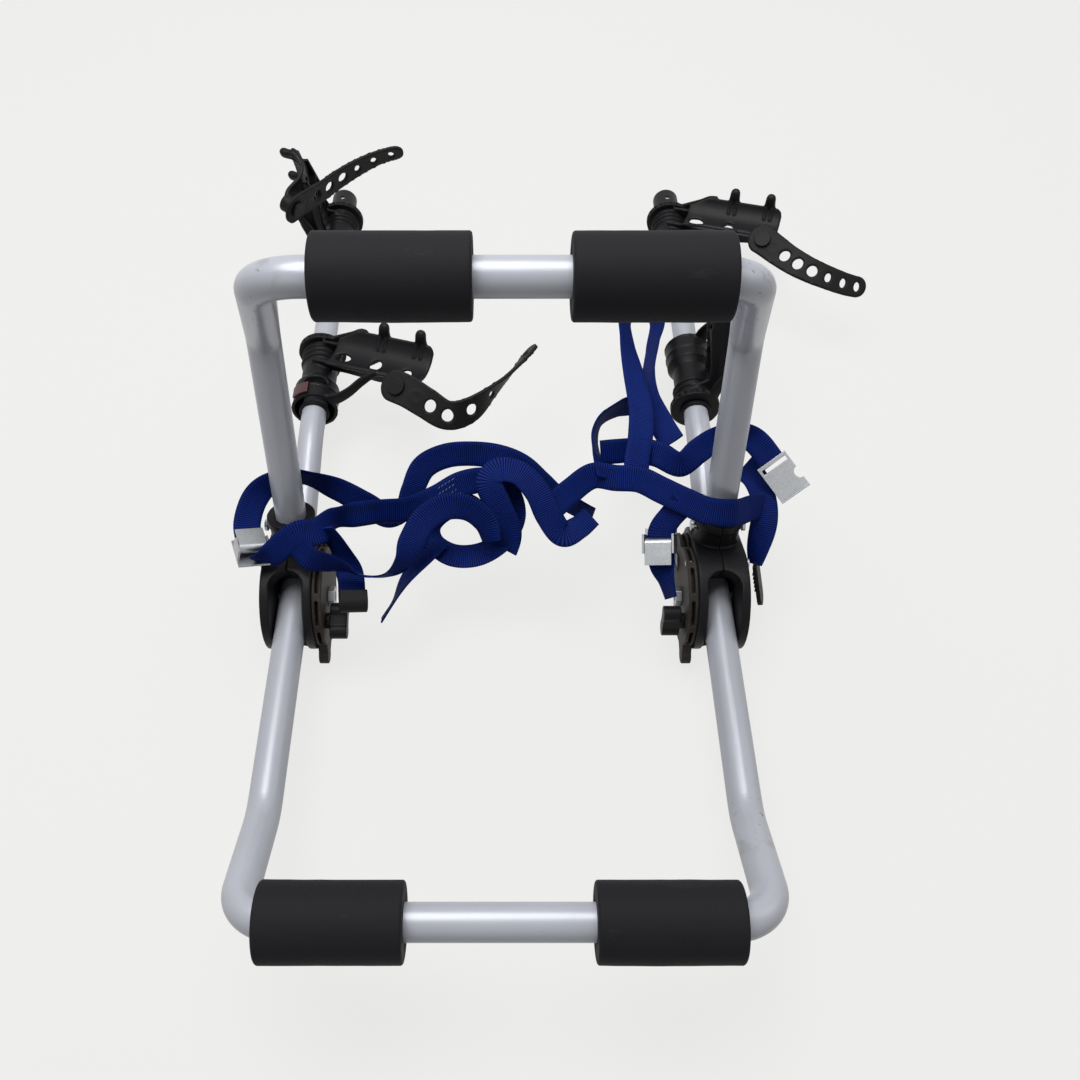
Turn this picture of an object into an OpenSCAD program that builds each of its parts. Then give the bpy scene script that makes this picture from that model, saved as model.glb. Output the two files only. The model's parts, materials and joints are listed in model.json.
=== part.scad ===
// Trunk mounted bike rack: two folding tube hoops on moulded hubs, two arms with cradles, tie-down webbing.
// +X is the rack's right seen from the car, +Y points back along the arms, +Z is up from the floor.

/* [Frame tubes] */
// Outside diameter of the hoop tubes
tube_d = 28.6; // [26:0.1:30]
// Wall of every tube
tube_wall = 1.6; // [1.2:0.1:2.4]
// Distance between the middles of the two hubs
hub_spacing = 400; // [380:1:460]

/* [Upper hoop] */
// Leg length from the hub to the kink
upper_leg = 250; // [220:1:300]
// Slope of the legs, leaning back
upper_slope = 70; // [65:1:76]
// Length from the kink to the top bar
upper_kick = 175; // [150:1:210]
// Forward bend at the kinks
upper_bend = 49; // [35:1:60]
// Width of the top bar between its corners
top_span = 336; // [320:1:370]
// Bend radius at the upper kinks
upper_kink_r = 34; // [25:1:60]
// Bend radius at the top corners
top_corner_r = 38; // [34:1:48]

/* [Lower hoop] */
// Leg length from the pivot to the kink
lower_leg = 221; // [190:1:260]
// Slope of the legs, rising to the front
lower_slope = 6.4; // [2:0.2:12]
// Length from the kink to the bottom bar
lower_kick = 116; // [100:1:150]
// Upward bend at the kinks
lower_bend = 26; // [15:1:40]
// Bend radius at the lower kinks
lower_kink_r = 60; // [30:1:90]
// Bend radius at the bottom corners
bottom_corner_r = 34; // [32:1:44]

/* [Foam pads] */
// Outside diameter of a pad
pad_d = 60; // [50:1:62]
// Length of a pad
pad_len = 107; // [80:1:115]
// Middle of the top left pad, along the bar
top_left_pad = -75; // [-95:1:-60]
// Middle of the top right pad, along the bar
top_right_pad = 98; // [60:1:100]
// Middle of the bottom left pad, along the bar
bottom_left_pad = -127; // [-130:1:-60]
// Middle of the bottom right pad, along the bar
bottom_right_pad = 120; // [60:1:130]

/* [Hubs] */
// Radius of the hub's round body
hub_r = 50; // [46:0.5:58]
// Width of the closed hub shells
hub_w = 47; // [44:0.5:56]
// Radius of the rear lobe, round the arm pivot
lobe_r = 34; // [30:0.5:40]
// Distance from the lower pivot back to the arm pivot
pivot_pitch = 40; // [40:0.5:46]
// Distance of the arm pivot below the lower pivot
pivot_drop = 3; // [0:0.5:5]
// Depth of the flat foot cut on the round body
foot_cut = 2; // [1:0.5:5]
// Diameter of the neck round each upper leg
neck_d = 41; // [38:0.5:46]
// Height of the neck's rim, along the leg
neck_top = 66; // [62:1:76]
// Height of the leg's lower end, along the leg
socket_from = 40; // [38:1:46]
// Thickness of the slotted lock plate
plate_t = 9; // [8:0.5:14]
// Diameter of the pivot bolts
bolt_d = 10; // [8:0.5:12]
// Diameter of the shell screws
shell_screw_d = 5; // [4:0.5:6]

/* [Knobs] */
// Length of a knob along its screw
knob_l = 20; // [16:0.5:28]
// Width across a knob's wings
knob_w = 34; // [26:0.5:40]
// Thickness of a knob's wings
knob_t = 15; // [12:0.5:18]
// Distance of the lock screw in front of the lower pivot
knob_reach = 28; // [26:0.5:32]
// Diameter of the lock screw
lock_screw_d = 8; // [6:0.5:10]

/* [Arms] */
// Outside diameter of the arm tubes
arm_d = 25.4; // [24:0.1:26]
// Length from the arm pivot to the bend
arm_root = 140; // [125:1:170]
// Slope of an arm at the hub
arm_slope = 6; // [4:0.2:9]
// Length from the bend to the tip
arm_reach = 395; // [390:1:450]
// Bend radius of an arm
arm_bend_r = 120; // [80:5:200]
// Length of an end cap
cap_l = 24; // [18:0.5:26]
// Wall of an end cap
cap_wall = 2.2; // [1.5:0.1:3]
// Width of a stop ring
stop_w = 4; // [3:0.5:6]
// Height of a stop ring above the tube
stop_h = 3; // [2:0.5:4]

/* [Cradles] */
// Middle of a near cradle, from the arm bend
near_at = 84; // [80:1:100]
// Middle of a far cradle, from the arm bend
far_at = 316; // [290:1:318]
// Length of a cradle barrel
barrel_l = 92; // [84:1:98]
// Diameter of a cradle barrel
barrel_d = 37; // [34:0.5:40]
// Diameter of the foot ring at the barrel's outer end
foot_ring_d = 52; // [48:0.5:56]
// Diameter of the hood at the barrel's inner end
hood_d = 47; // [44:0.5:50]
// Radius of the trough that takes a bicycle's tube
trough_r = 28; // [24:0.5:30]
// Wall of the trough
trough_wall = 4; // [3:0.5:5]
// Reach of the trough from the arm axis
trough_end = 128; // [115:1:140]
// Height of the trough's axis above the arm axis
trough_rise = 50; // [50:0.5:56]
// Half angle of the trough's round
trough_half = 62; // [57:1:66]
// Shift of the trough's root along the arm, towards the barrel's outer end
trough_shift = 22; // [18:1:24]
// Turn of the trough from square across the arm
trough_yaw = 20; // [16:1:22]
// Turn of the left near cradle about its arm
left_near_roll = 4; // [-10:1:20]
// Turn of the left far cradle about its arm
left_far_roll = 92; // [84:1:100]
// Turn of the right near cradle about its arm
right_near_roll = 90; // [82:1:98]
// Turn of the right far cradle about its arm
right_far_roll = 4; // [-5:1:15]

/* [Ladder straps] */
// Width of a ladder strap at its rivet
ladder_root_w = 34; // [28:0.5:38]
// Width of a ladder strap at its tip
ladder_tip_w = 22; // [18:0.5:26]
// Thickness of a ladder strap
ladder_t = 4; // [3:0.5:5]
// Diameter of the ladder holes
ladder_hole_d = 12; // [9:0.5:13]
// Number of ladder holes
ladder_holes = 7; // [5:1:8]
// Diameter of the rivet that holds a strap
rivet_d = 8; // [6:0.5:10]

/* [Webbing] */
// Width of the webbing
web_w = 25; // [20:0.5:26]
// Thickness of the webbing
web_t = 1.8; // [1.2:0.1:2]
// Length of a cam buckle
buckle_l = 34; // [30:0.5:40]
// Length of a cam buckle's lever
lever_l = 20; // [16:0.5:24]
// Diameter of a cam buckle's pin
pin_d = 4; // [3:0.1:5]
// Diameter of a lever's cam
cam_d = 10; // [8:0.5:12]
// Sheet of the buckles and of the plate hook
sheet_t = 2; // [1.5:0.1:2.5]
// Length of the plate hook
plate_hook_l = 40; // [34:1:46]
// Wall of the coated hook
coated_t = 4; // [3:0.1:5]
// Length of the strap tongue
tongue_l = 42; // [36:1:48]

/* [Clearances] */
// Gap round a fixed piece in its seat
seat_gap = 0.15; // [0.05:0.05:0.3]
// Gap round a turning piece
run_gap = 0.3; // [0.2:0.05:0.5]
// Gap round a pivot bolt
bolt_gap = 0.1; // [0.05:0.01:0.15]
// Gap between a folding tube and the hub's cheeks
cheek_gap = 0.7; // [0.4:0.1:1]

/* [Hidden] */
$fn = 64;

// A long way, for cuts that run right out of a piece
out = 400;
// A small overrun, for cuts that end flush with a face
over = 1;

hub_x = hub_spacing / 2;
pivot_z = hub_r - foot_cut;
tube_r = tube_d / 2;
arm_r = arm_d / 2;
half_w = hub_w / 2;
slot_half = tube_r + cheek_gap;

// Where the upper leg's axis meets the arm's, seen from the side
leg_back = 33;
leg_drop = 4;

// Fold ranges, in degrees about +X
lower_range = [-65, 35];
arm_range = [-75, 18];

// Directions in the side plane, in degrees from +Y towards +Z
upper_dir = upper_slope;
kick_dir = upper_slope + upper_bend;
lower_dir = 180 - lower_slope;
lower_kick_dir = lower_dir - lower_bend;

function side(a) = [0, cos(a), sin(a)];
function flat(p) = [p.y, p.z];
function unit(v) = v / norm(v);
function mirrored(p) = [-p.x, p.y, p.z];
function both_sides(points) = concat(
    [for (p = points) mirrored(p)],
    [for (i = [len(points) - 1 : -1 : 0]) points[i]]
);

lower_pivot = [hub_x, 0, pivot_z];
arm_pivot = [hub_x, pivot_pitch, pivot_z - pivot_drop];
leg_foot = [hub_x, leg_back, pivot_z - leg_drop];
function leg_point(s) = leg_foot + s * side(upper_dir);

// The tail of a folding tube behind its pivot, and the round room that it turns in
lower_tail = 12;
arm_tail = 9;
lower_room = norm([lower_tail, tube_r]) + run_gap;
arm_room = norm([arm_tail, arm_r]) + run_gap;

upper_kink = leg_point(upper_leg);
top_corner = [
    top_span / 2,
    upper_kink.y + upper_kick * cos(kick_dir),
    upper_kink.z + upper_kick * sin(kick_dir)
];
lower_kink = lower_pivot + lower_leg * side(lower_dir);
bottom_corner = lower_kink + lower_kick * side(lower_kick_dir);

upper_path = both_sides([leg_point(socket_from), upper_kink, top_corner]);
upper_radii = [upper_kink_r, top_corner_r, top_corner_r, upper_kink_r];
lower_path = both_sides([lower_pivot - lower_tail * side(lower_dir), lower_kink, bottom_corner]);
lower_radii = [lower_kink_r, bottom_corner_r, bottom_corner_r, lower_kink_r];

// The arm's outer part slopes down until the far cradle's foot ring touches the floor
arm_bend_point = arm_pivot + arm_root * side(arm_slope);
foot_at = far_at + barrel_l / 2;
foot_span = norm([foot_at, foot_ring_d / 2]);
arm_out_dir = atan2(foot_ring_d / 2, foot_at) - asin(arm_bend_point.z / foot_span);
arm_tip = arm_bend_point + arm_reach * side(arm_out_dir);
arm_path = [arm_pivot - arm_tail * side(arm_slope), arm_bend_point, arm_tip];

// Orthonormal frames
function any_normal(w) = unit(cross(abs(w.x) < 0.9 ? [1, 0, 0] : [0, 1, 0], w));
function frame(u, v, w, p) = [
    [u.x, v.x, w.x, p.x],
    [u.y, v.y, w.y, p.y],
    [u.z, v.z, w.z, p.z],
    [0, 0, 0, 1]
];

// A round bar from one point to another
module rod(p, q, d) {
    w = unit(q - p);
    u = any_normal(w);
    multmatrix(frame(u, cross(w, u), w, p))
        cylinder(h = norm(q - p), d = d);
}

// A bend is a hair thicker than its straights, which run a little way into it
bend_step = 0.02;
bend_lap = 0.5;
// Extra turn of a pad's bore, past the pad's end
bore_over = 5;

// The length that a bend takes from each of its two straights
function bend_cut(p, q, r, bend_r) = bend_r * tan(acos(unit(q - p) * unit(r - q)) / 2);

// A round bend at q, on the way from p to r, turning only part of the way if an angle is given
module elbow(p, q, r, bend_r, d, angle = 0) {
    a = unit(q - p);
    b = unit(r - q);
    n = unit(b - a * (a * b));
    centre = q - a * bend_cut(p, q, r, bend_r) + n * bend_r;
    turn = angle == 0 ? acos(a * b) : angle;
    multmatrix(frame(-n, a, cross(-n, a), centre))
        rotate_extrude(angle = turn)
            translate([bend_r, 0])
                circle(d = d + 2 * bend_step);
}

// A solid bar bent along a path, with its ends lengthened by extra
module bent_bar(path, radii, d, extra = 0) {
    last = len(path) - 1;
    for (i = [0 : last - 1]) {
        w = unit(path[i + 1] - path[i]);
        from = i == 0 ? -extra : bend_cut(path[i - 1], path[i], path[i + 1], radii[i - 1]) - bend_lap;
        to = i == last - 1 ? -extra : bend_cut(path[i], path[i + 1], path[i + 2], radii[i]) - bend_lap;
        rod(path[i] + from * w, path[i + 1] - to * w, d);
    }
    for (i = [1 : last - 1])
        elbow(path[i - 1], path[i], path[i + 1], radii[i - 1], d);
}

module bent_tube(path, radii, d) {
    difference() {
        bent_bar(path, radii, d);
        bent_bar(path, radii, d - 2 * tube_wall, over);
    }
}

// Turns a drawing in the side plane into a solid between two places along X
module along_x(x0, x1) {
    translate([x0, 0, 0])
        rotate([90, 0, 90])
            linear_extrude(x1 - x0)
                children();
}

// Two discs joined by their tangents
module capsule(p, rp, q, rq) {
    way = atan2(q.y - p.y, q.x - p.x);
    swing = acos((rp - rq) / norm(q - p));
    translate(p)
        circle(rp);
    translate(q)
        circle(rq);
    polygon([
        p + (rp - bend_step) * [cos(way + swing), sin(way + swing)],
        q + (rq - bend_step) * [cos(way + swing), sin(way + swing)],
        q + (rq - bend_step) * [cos(way - swing), sin(way - swing)],
        p + (rp - bend_step) * [cos(way - swing), sin(way - swing)]
    ]);
}

module on_both_sides() {
    children();
    mirror([1, 0, 0])
        children();
}

module on_side(sign) {
    mirror([sign < 0 ? 1 : 0, 0, 0])
        children();
}

// Hoops

module upper_hoop() {
    color("silver")
        difference() {
            bent_tube(upper_path, upper_radii, tube_d);
            on_both_sides()
                rod(leg_bolt_at - [half_w, 0, 0], leg_bolt_at + [half_w, 0, 0], leg_bolt_d + 2 * seat_gap);
        }
}

module lower_hoop() {
    color("silver")
        difference() {
            bent_tube(lower_path, lower_radii, tube_d);
            on_both_sides()
                rod(lower_pivot - [half_w, 0, 0], lower_pivot + [half_w, 0, 0], bolt_d + 2 * bolt_gap);
        }
}

// The bore of a sleeve on a bar, which follows the bar's bends where the sleeve is longer than the straight
module bar_bore(corner, leg, bend_r, from, to) {
    d = tube_d + 2 * seat_gap;
    straight = corner.x - bend_cut(mirrored(corner), corner, leg, bend_r);
    right_turn = to > straight ? asin((to - straight) / (bend_r - d / 2)) : 0;
    left_turn = from < -straight ? asin((-straight - from) / (bend_r - d / 2)) : 0;
    start = [max(from, -straight), corner.y, corner.z];
    end = [min(to, straight), corner.y, corner.z];
    rod(start - [left_turn > 0 ? bend_lap : over, 0, 0], end + [right_turn > 0 ? bend_lap : over, 0, 0], d);
    if (right_turn > 0)
        elbow(mirrored(corner), corner, leg, bend_r, d, right_turn + bore_over);
    if (left_turn > 0)
        mirror([1, 0, 0])
            elbow(mirrored(corner), corner, leg, bend_r, d, left_turn + bore_over);
}

module foam_pad(corner, leg, bend_r, middle) {
    from = middle - pad_len / 2;
    to = middle + pad_len / 2;
    color("#1c1c1e")
        difference() {
            rod([from, corner.y, corner.z], [to, corner.y, corner.z], pad_d);
            bar_bore(corner, leg, bend_r, from, to);
        }
}

module top_pad_left() foam_pad(top_corner, upper_kink, top_corner_r, top_left_pad);
module top_pad_right() foam_pad(top_corner, upper_kink, top_corner_r, top_right_pad);
module bottom_pad_left() foam_pad(bottom_corner, lower_kink, bottom_corner_r, bottom_left_pad);
module bottom_pad_right() foam_pad(bottom_corner, lower_kink, bottom_corner_r, bottom_right_pad);

// Hubs, drawn for the right side

neck_rim = 9;
neck_flare = 2;
leg_bolt_d = 6;
leg_bolt_head_d = 10.8;
leg_bolt_at = leg_point((socket_from + neck_top) / 2);
bolt_head_d = 1.9 * bolt_d;
bolt_head_h = 0.6 * bolt_d;
screw_head_d = 1.9 * shell_screw_d;
screw_head_h = 3;
// Shell screws, below and above the lower leg's way, from the lower pivot
screw_circle = 38;
shell_screw_spots = [[10, -screw_circle], [14, screw_circle]];
lock_screw_at = lower_pivot + knob_reach * side(lower_dir);

plate_from = hub_x - half_w - plate_t;
plate_to = hub_x - half_w;

module hub_outline() {
    difference() {
        capsule(flat(lower_pivot), hub_r, flat(arm_pivot), lobe_r);
        translate([-out, -2 * out])
            square(2 * out);
    }
}

// The room that a tube sweeps through in the side plane as it folds, square for a length at its two ends
module sweep_room(pivot, room, half, from, to, square_l) {
    translate(flat(pivot)) {
        circle(room);
        for (a = [from, to])
            rotate(a)
                translate([0, -half])
                    square([square_l, 2 * half]);
        polygon([
            [0, 0],
            out * [cos(from), sin(from)],
            2 * out * [cos((from + to) / 2), sin((from + to) / 2)],
            out * [cos(to), sin(to)]
        ]);
    }
}

// The lower leg's slot ends in round arches from this distance, a little wider than the slot
arch_from = 24;
arch_over = 0.3;

module fold_slots() {
    lower_ends = [for (a = lower_range) lower_dir + a];
    arm_ends = [for (a = arm_range) arm_slope + a];
    along_x(hub_x - slot_half, hub_x + slot_half) {
        sweep_room(lower_pivot, lower_room, slot_half, lower_ends[0], lower_ends[1], arch_from);
        sweep_room(arm_pivot, arm_room, arm_r + cheek_gap, arm_ends[0], arm_ends[1], out);
    }
    for (a = lower_ends)
        rod(
            lower_pivot + (arch_from - over) * side(a),
            lower_pivot + out * side(a),
            2 * (slot_half + arch_over)
        );
}

module cross_holes() {
    span = [hub_w, 0, 0];
    for (p = [lower_pivot, arm_pivot])
        rod(p - span, p + span, bolt_d + 2 * seat_gap);
    rod(leg_bolt_at - span, leg_bolt_at + span, leg_bolt_d + 2 * seat_gap);
    for (s = shell_screw_spots) {
        p = lower_pivot + [0, s.x, s.y];
        rod(p - span, p + span, shell_screw_d + 2 * seat_gap);
    }
}

module hub_block() {
    difference() {
        union() {
            along_x(hub_x - half_w, hub_x + half_w)
                hub_outline();
            rod(leg_point(0), leg_point(neck_top - neck_rim / 2), neck_d);
            rod(leg_point(neck_top - neck_rim), leg_point(neck_top), neck_d + 2 * neck_flare);
        }
        fold_slots();
        rod(leg_point(socket_from), leg_point(neck_top + over), tube_d + 2 * seat_gap);
        cross_holes();
    }
}

module hub_outer_shell() {
    color("#202022")
        intersection() {
            hub_block();
            translate([hub_x, -out, 0])
                cube([out, 2 * out, out]);
        }
}

module hub_inner_shell() {
    color("#202022")
        difference() {
            hub_block();
            translate([hub_x, -out, -over])
                cube([out, 2 * out, 2 * out]);
            rod(lock_screw_at - [out, 0, 0], lock_screw_at, lock_screw_d + 2 * run_gap);
        }
}

// The slotted plate on the inner side, with a pointed lower front
plate_r = hub_r - 3;
plate_inset = 6;
plate_tip_r = 9;
plate_tip = [-46, -31];
plate_tip_half = 7.2;
plate_groove = 3;
// Half width of the tip, which the groove leaves solid
plate_solid = 15;
plate_rim = 8;
plate_ribs = 9;
plate_rib_t = 7;
module plate_block() {
    tip_at = lower_pivot + [0, plate_tip.x, plate_tip.y];
    span = [plate_t, 0, 0];
    on_plate = [half_w + plate_t, 0, 0];
    difference() {
        union() {
            rod(lower_pivot - on_plate, lower_pivot - on_plate + span, 2 * plate_r);
            rod(arm_pivot - on_plate, arm_pivot - on_plate + span, 2 * (lobe_r - plate_inset));
            rod(tip_at - on_plate, tip_at - on_plate + span, 2 * plate_tip_r);
            along_x(plate_from, plate_to)
                translate(flat(lower_pivot))
                    rotate(atan2(plate_tip.y, plate_tip.x))
                        polygon([
                            [0, plate_r - plate_tip_r],
                            [norm(plate_tip), plate_tip_half],
                            [norm(plate_tip), -plate_tip_half],
                            [0, plate_tip_r - plate_r]
                        ]);
        }
        translate([plate_from - over, -out, -out])
            cube([plate_t + 2 * over, 2 * out, out]);
    }
}

module lock_plate() {
    groove_at = (plate_from + plate_to) / 2;
    color("#232120")
        difference() {
            plate_block();
            along_x(groove_at - plate_groove / 2, groove_at + plate_groove / 2)
                difference() {
                    translate(flat(lower_pivot))
                        circle(out);
                    translate(flat(lower_pivot))
                        rotate(atan2(plate_tip.y, plate_tip.x))
                            translate([0, -plate_solid])
                                square([out, 2 * plate_solid]);
                    translate(flat(lower_pivot))
                        circle(plate_r - plate_rim);
                    translate(flat(arm_pivot))
                        circle(lobe_r - plate_inset - plate_rim);
                    for (i = [0 : plate_ribs - 1])
                        translate(flat(lower_pivot))
                            rotate(i * 360 / plate_ribs)
                                translate([0, -plate_rib_t / 2])
                                    square([out, plate_rib_t]);
                }
            cross_holes();
            rod(lock_screw_at - [out, 0, 0], lock_screw_at, lock_screw_d + 2 * run_gap);
        }
}

module pivot_bolts() {
    color("#2a2a2c")
        on_both_sides()
            for (p = [lower_pivot, arm_pivot]) {
                head = p + [half_w, 0, 0];
                rod(p - [half_w + plate_t + bolt_head_h, 0, 0], head, bolt_d);
                rod(head, head + [bolt_head_h, 0, 0], bolt_head_d);
            }
}

module pivot_nuts() {
    color("#9a9ca0")
        on_both_sides()
            for (p = [lower_pivot, arm_pivot])
                translate([plate_from - bolt_head_h, p.y, p.z])
                    rotate([0, 90, 0])
                        difference() {
                            cylinder(h = bolt_head_h, d = bolt_head_d, $fn = 6);
                            translate([0, 0, -over])
                                cylinder(h = bolt_head_h + 2 * over, d = bolt_d + 2 * seat_gap);
                        }
}

module leg_bolts() {
    reach = neck_d / 2 + neck_flare;
    color("#9a9ca0")
        on_both_sides() {
            rod(leg_bolt_at - [reach, 0, 0], leg_bolt_at + [reach, 0, 0], leg_bolt_d);
            for (s = [-1, 1])
                rod(
                    leg_bolt_at + [s * reach, 0, 0],
                    leg_bolt_at + [s * (reach + leg_bolt_d / 2), 0, 0],
                    leg_bolt_head_d
                );
        }
}

module shell_screws() {
    color("#9a9ca0")
        on_both_sides()
            for (s = shell_screw_spots) {
                p = lower_pivot + [0, s.x, s.y];
                rod(p - [half_w + plate_t, 0, 0], p + [half_w, 0, 0], shell_screw_d);
                rod(p + [half_w, 0, 0], p + [half_w + screw_head_h, 0, 0], screw_head_d);
            }
}

module hub_outer_shell_left() on_side(-1) hub_outer_shell();
module hub_outer_shell_right() on_side(1) hub_outer_shell();
module hub_inner_shell_left() on_side(-1) hub_inner_shell();
module hub_inner_shell_right() on_side(1) hub_inner_shell();
module lock_plate_left() on_side(-1) lock_plate();
module lock_plate_right() on_side(1) lock_plate();

// A wing knob on its lock screw, with its wings along or across the leg
knob_neck = 4;
// How far a knob's waist is set back from its wings, both faces together
knob_waist = 3;
module wing_knob(wing_angle) {
    face = plate_from - run_gap;
    color("#262628") {
        rod(
            [face - knob_neck, lock_screw_at.y, lock_screw_at.z],
            [plate_to + half_w - slot_half, lock_screw_at.y, lock_screw_at.z],
            lock_screw_d
        );
        translate([face, lock_screw_at.y, lock_screw_at.z])
            rotate([0, -90, 0])
                rotate(wing_angle) {
                    cylinder(h = knob_neck, d = knob_t);
                    translate([0, 0, knob_neck])
                        linear_extrude(knob_l - knob_neck) {
                            for (s = [-1, 1])
                                translate([s * (knob_w - knob_t) / 2, 0])
                                    circle(d = knob_t);
                            square([knob_w - knob_t, knob_t - knob_waist], center = true);
                        }
                }
    }
}

module knob_left() on_side(-1) wing_knob(70);
module knob_right() on_side(1) wing_knob(15);

// Arms

module arm_tube(sign) {
    color("silver")
        on_side(sign)
            difference() {
                bent_tube(arm_path, [arm_bend_r], arm_d);
                rod(arm_pivot - [half_w, 0, 0], arm_pivot + [half_w, 0, 0], bolt_d + 2 * bolt_gap);
            }
}

module arm_tube_left() arm_tube(-1);
module arm_tube_right() arm_tube(1);

// Puts children in an arm's frame: origin on the axis, +Y towards the tip
module at_arm(sign, along) {
    p = arm_bend_point + along * side(arm_out_dir);
    v = side(arm_out_dir);
    multmatrix(frame([1, 0, 0], v, cross([1, 0, 0], v), [sign * p.x, p.y, p.z]))
        children();
}

// Turns a drawing of radius and length into a solid round the arm's axis
module round_arm() {
    rotate([-90, 0, 0])
        rotate_extrude()
            children();
}

// The end cap has a rounded nose and a small dimple on its side
cap_nose = 5;
cap_dimple_d = 6;
module arm_cap(sign) {
    cap_r = arm_r + cap_wall;
    color("#1e1e20")
        at_arm(sign, arm_reach)
            difference() {
                union() {
                    round_arm()
                        translate([0, -cap_l])
                            square([cap_r, cap_l + cap_wall]);
                    round_arm()
                        translate([0, cap_wall]) {
                            square([cap_r - cap_nose, cap_nose]);
                            intersection() {
                                translate([cap_r - cap_nose, 0])
                                    circle(cap_nose);
                                square([cap_r, cap_nose]);
                            }
                        }
                }
                round_arm()
                    translate([0, -cap_l - over])
                        square([arm_r + seat_gap, cap_l + over]);
                translate([0, -cap_l / 2, 0])
                    cylinder(h = out, d = cap_dimple_d);
            }
}

module arm_cap_left() arm_cap(-1);
module arm_cap_right() arm_cap(1);

module stop_rings(sign) {
    color("#1e1e20")
        for (along = [near_at, far_at], s = [-1, 1])
            at_arm(sign, along + s * (barrel_l / 2 + run_gap + stop_w / 2))
                round_arm()
                    translate([arm_r + seat_gap, -stop_w / 2])
                        square([stop_h, stop_w]);
}

module stop_rings_left() stop_rings(-1);
module stop_rings_right() stop_rings(1);

// Cradles, drawn with the arm along Y and the trough's open side up

ring_w = 8;
grip_d = 43;
grip_w = 3;
grip_pitch = 7;
hood_l = 30;
hood_wall = 3;
gusset_t = 4;
gusset_y = 14;
gusset_low = 8;
// Where a gusset's lower edge bends, along the trough
gusset_knee = 77;
lattice_t = 2.6;
lattice_cells = 4;
trough_from = 20;
lug_d = 9;
lug_head_d = 13;
lug_h = 19.6;
lug_spots = [70, 112];
boss_d = 20;
boss_l = 9;
boss_out = 14;
boss_arm_t = 6;
boss_tilt = 55;
window_d = 13;
window_spots = [46, 92];
// Middle of the trough's edge, round the trough's axis
edge_r = trough_r + trough_wall / 2;
edge_y = edge_r * sin(trough_half);
edge_z = trough_rise - edge_r * cos(trough_half);
boss_x = trough_end - boss_d / 2;

// The trough's frame: X along the trough, Z out of its open side
module at_trough() {
    translate([0, trough_shift, 0])
        rotate(-trough_yaw)
            children();
}

module trough_outline() {
    intersection() {
        difference() {
            circle(trough_r + trough_wall);
            circle(trough_r);
        }
        polygon([
            [0, 0],
            out * [-sin(trough_half), -cos(trough_half)],
            [0, -2 * out],
            out * [sin(trough_half), -cos(trough_half)]
        ]);
    }
}

module trough() {
    translate([0, 0, trough_rise])
        along_x(trough_from, trough_end)
            trough_outline();
}

// Gussets and crossed ribs carry the trough on the barrel
module trough_ribs() {
    seat = trough_rise - sqrt(pow(edge_r, 2) - pow(gusset_y, 2));
    rib_top = trough_rise - trough_r - trough_wall / 2;
    for (s = [-1, 1])
        translate([0, s * gusset_y + gusset_t / 2, 0])
            rotate([90, 0, 0])
                linear_extrude(gusset_t)
                    polygon([
                        [0, -barrel_d / 2 + gusset_low],
                        [gusset_knee, seat - 2 * gusset_low],
                        [trough_end - gusset_low, seat - gusset_low],
                        [trough_end - gusset_low, seat],
                        [0, seat]
                    ]);
    cell = (trough_end - gusset_low - trough_from) / lattice_cells;
    lean = atan2(2 * gusset_y, cell);
    for (i = [0 : lattice_cells - 1], s = [-1, 1])
        translate([trough_from + (i + 0.5) * cell, 0, rib_top - gusset_low])
            rotate(s * lean)
                translate([-norm([cell, 2 * gusset_y]) / 2, -lattice_t / 2, 0])
                    cube([norm([cell, 2 * gusset_y]), lattice_t, gusset_low]);
}

module barrel() {
    round_arm() {
        translate([0, -barrel_l / 2])
            square([barrel_d / 2, barrel_l]);
        translate([0, barrel_l / 2 - ring_w])
            square([foot_ring_d / 2, ring_w]);
        for (i = [1 : 3])
            translate([0, barrel_l / 2 - ring_w - i * grip_pitch])
                square([grip_d / 2, grip_w]);
        translate([0, -barrel_l / 2])
            square([hood_d / 2, hood_l]);
    }
}

// Lugs that the ladder's holes hook on
module lugs() {
    for (x = lug_spots)
        translate([x, edge_y, edge_z - trough_wall]) {
            cylinder(h = lug_h, d = lug_d);
            translate([0, 0, lug_h])
                cylinder(h = trough_wall, d = lug_head_d);
        }
}

// The frame of the boss that a ladder strap is riveted to: its axis leans forward, up or down
module at_boss(up) {
    at_trough()
        translate([boss_x, -edge_y - boss_out, edge_z])
            rotate([up * (90 - boss_tilt), 0, 0])
                rotate([up > 0 ? 0 : 180, 0, 0])
                    children();
}

module cradle(up) {
    color("#1b1b1d")
        difference() {
            union() {
                barrel();
                at_trough()
                    trough();
                at_trough()
                    trough_ribs();
                at_trough()
                    lugs();
                at_boss(up)
                    translate([0, 0, -boss_l / 2])
                        cylinder(h = 1.5 * boss_l, d = boss_d);
                at_trough()
                    translate([boss_x - boss_d / 2, -edge_y - boss_out, edge_z - boss_arm_t / 2])
                        cube([boss_d, boss_out + trough_wall / 2, boss_arm_t]);
            }
            round_arm()
                translate([0, -barrel_l])
                    square([arm_r + run_gap, 2 * barrel_l]);
            round_arm()
                translate([0, -barrel_l / 2 - over])
                    square([hood_d / 2 - hood_wall, hood_l - hood_wall]);
            at_trough()
                for (x = window_spots)
                    translate([x, 0, 0])
                        cylinder(h = trough_rise, d = window_d);
            at_trough()
                translate([0, 0, trough_rise])
                    rotate([0, 90, 0])
                        cylinder(h = trough_end + over, r = trough_r);
            at_boss(up)
                translate([0, 0, -out / 2])
                    cylinder(h = out, d = rivet_d + 2 * seat_gap);
        }
}

// How each cradle sits: arm side, place along the arm, turn about the arm, boss side, put on back to front
cradle_sets = [
    [-1, near_at, left_near_roll, 1, 0],
    [-1, far_at, left_far_roll, -1, 0],
    [1, near_at, right_near_roll, -1, 180],
    [1, far_at, right_far_roll, 1, 0]
];

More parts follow.
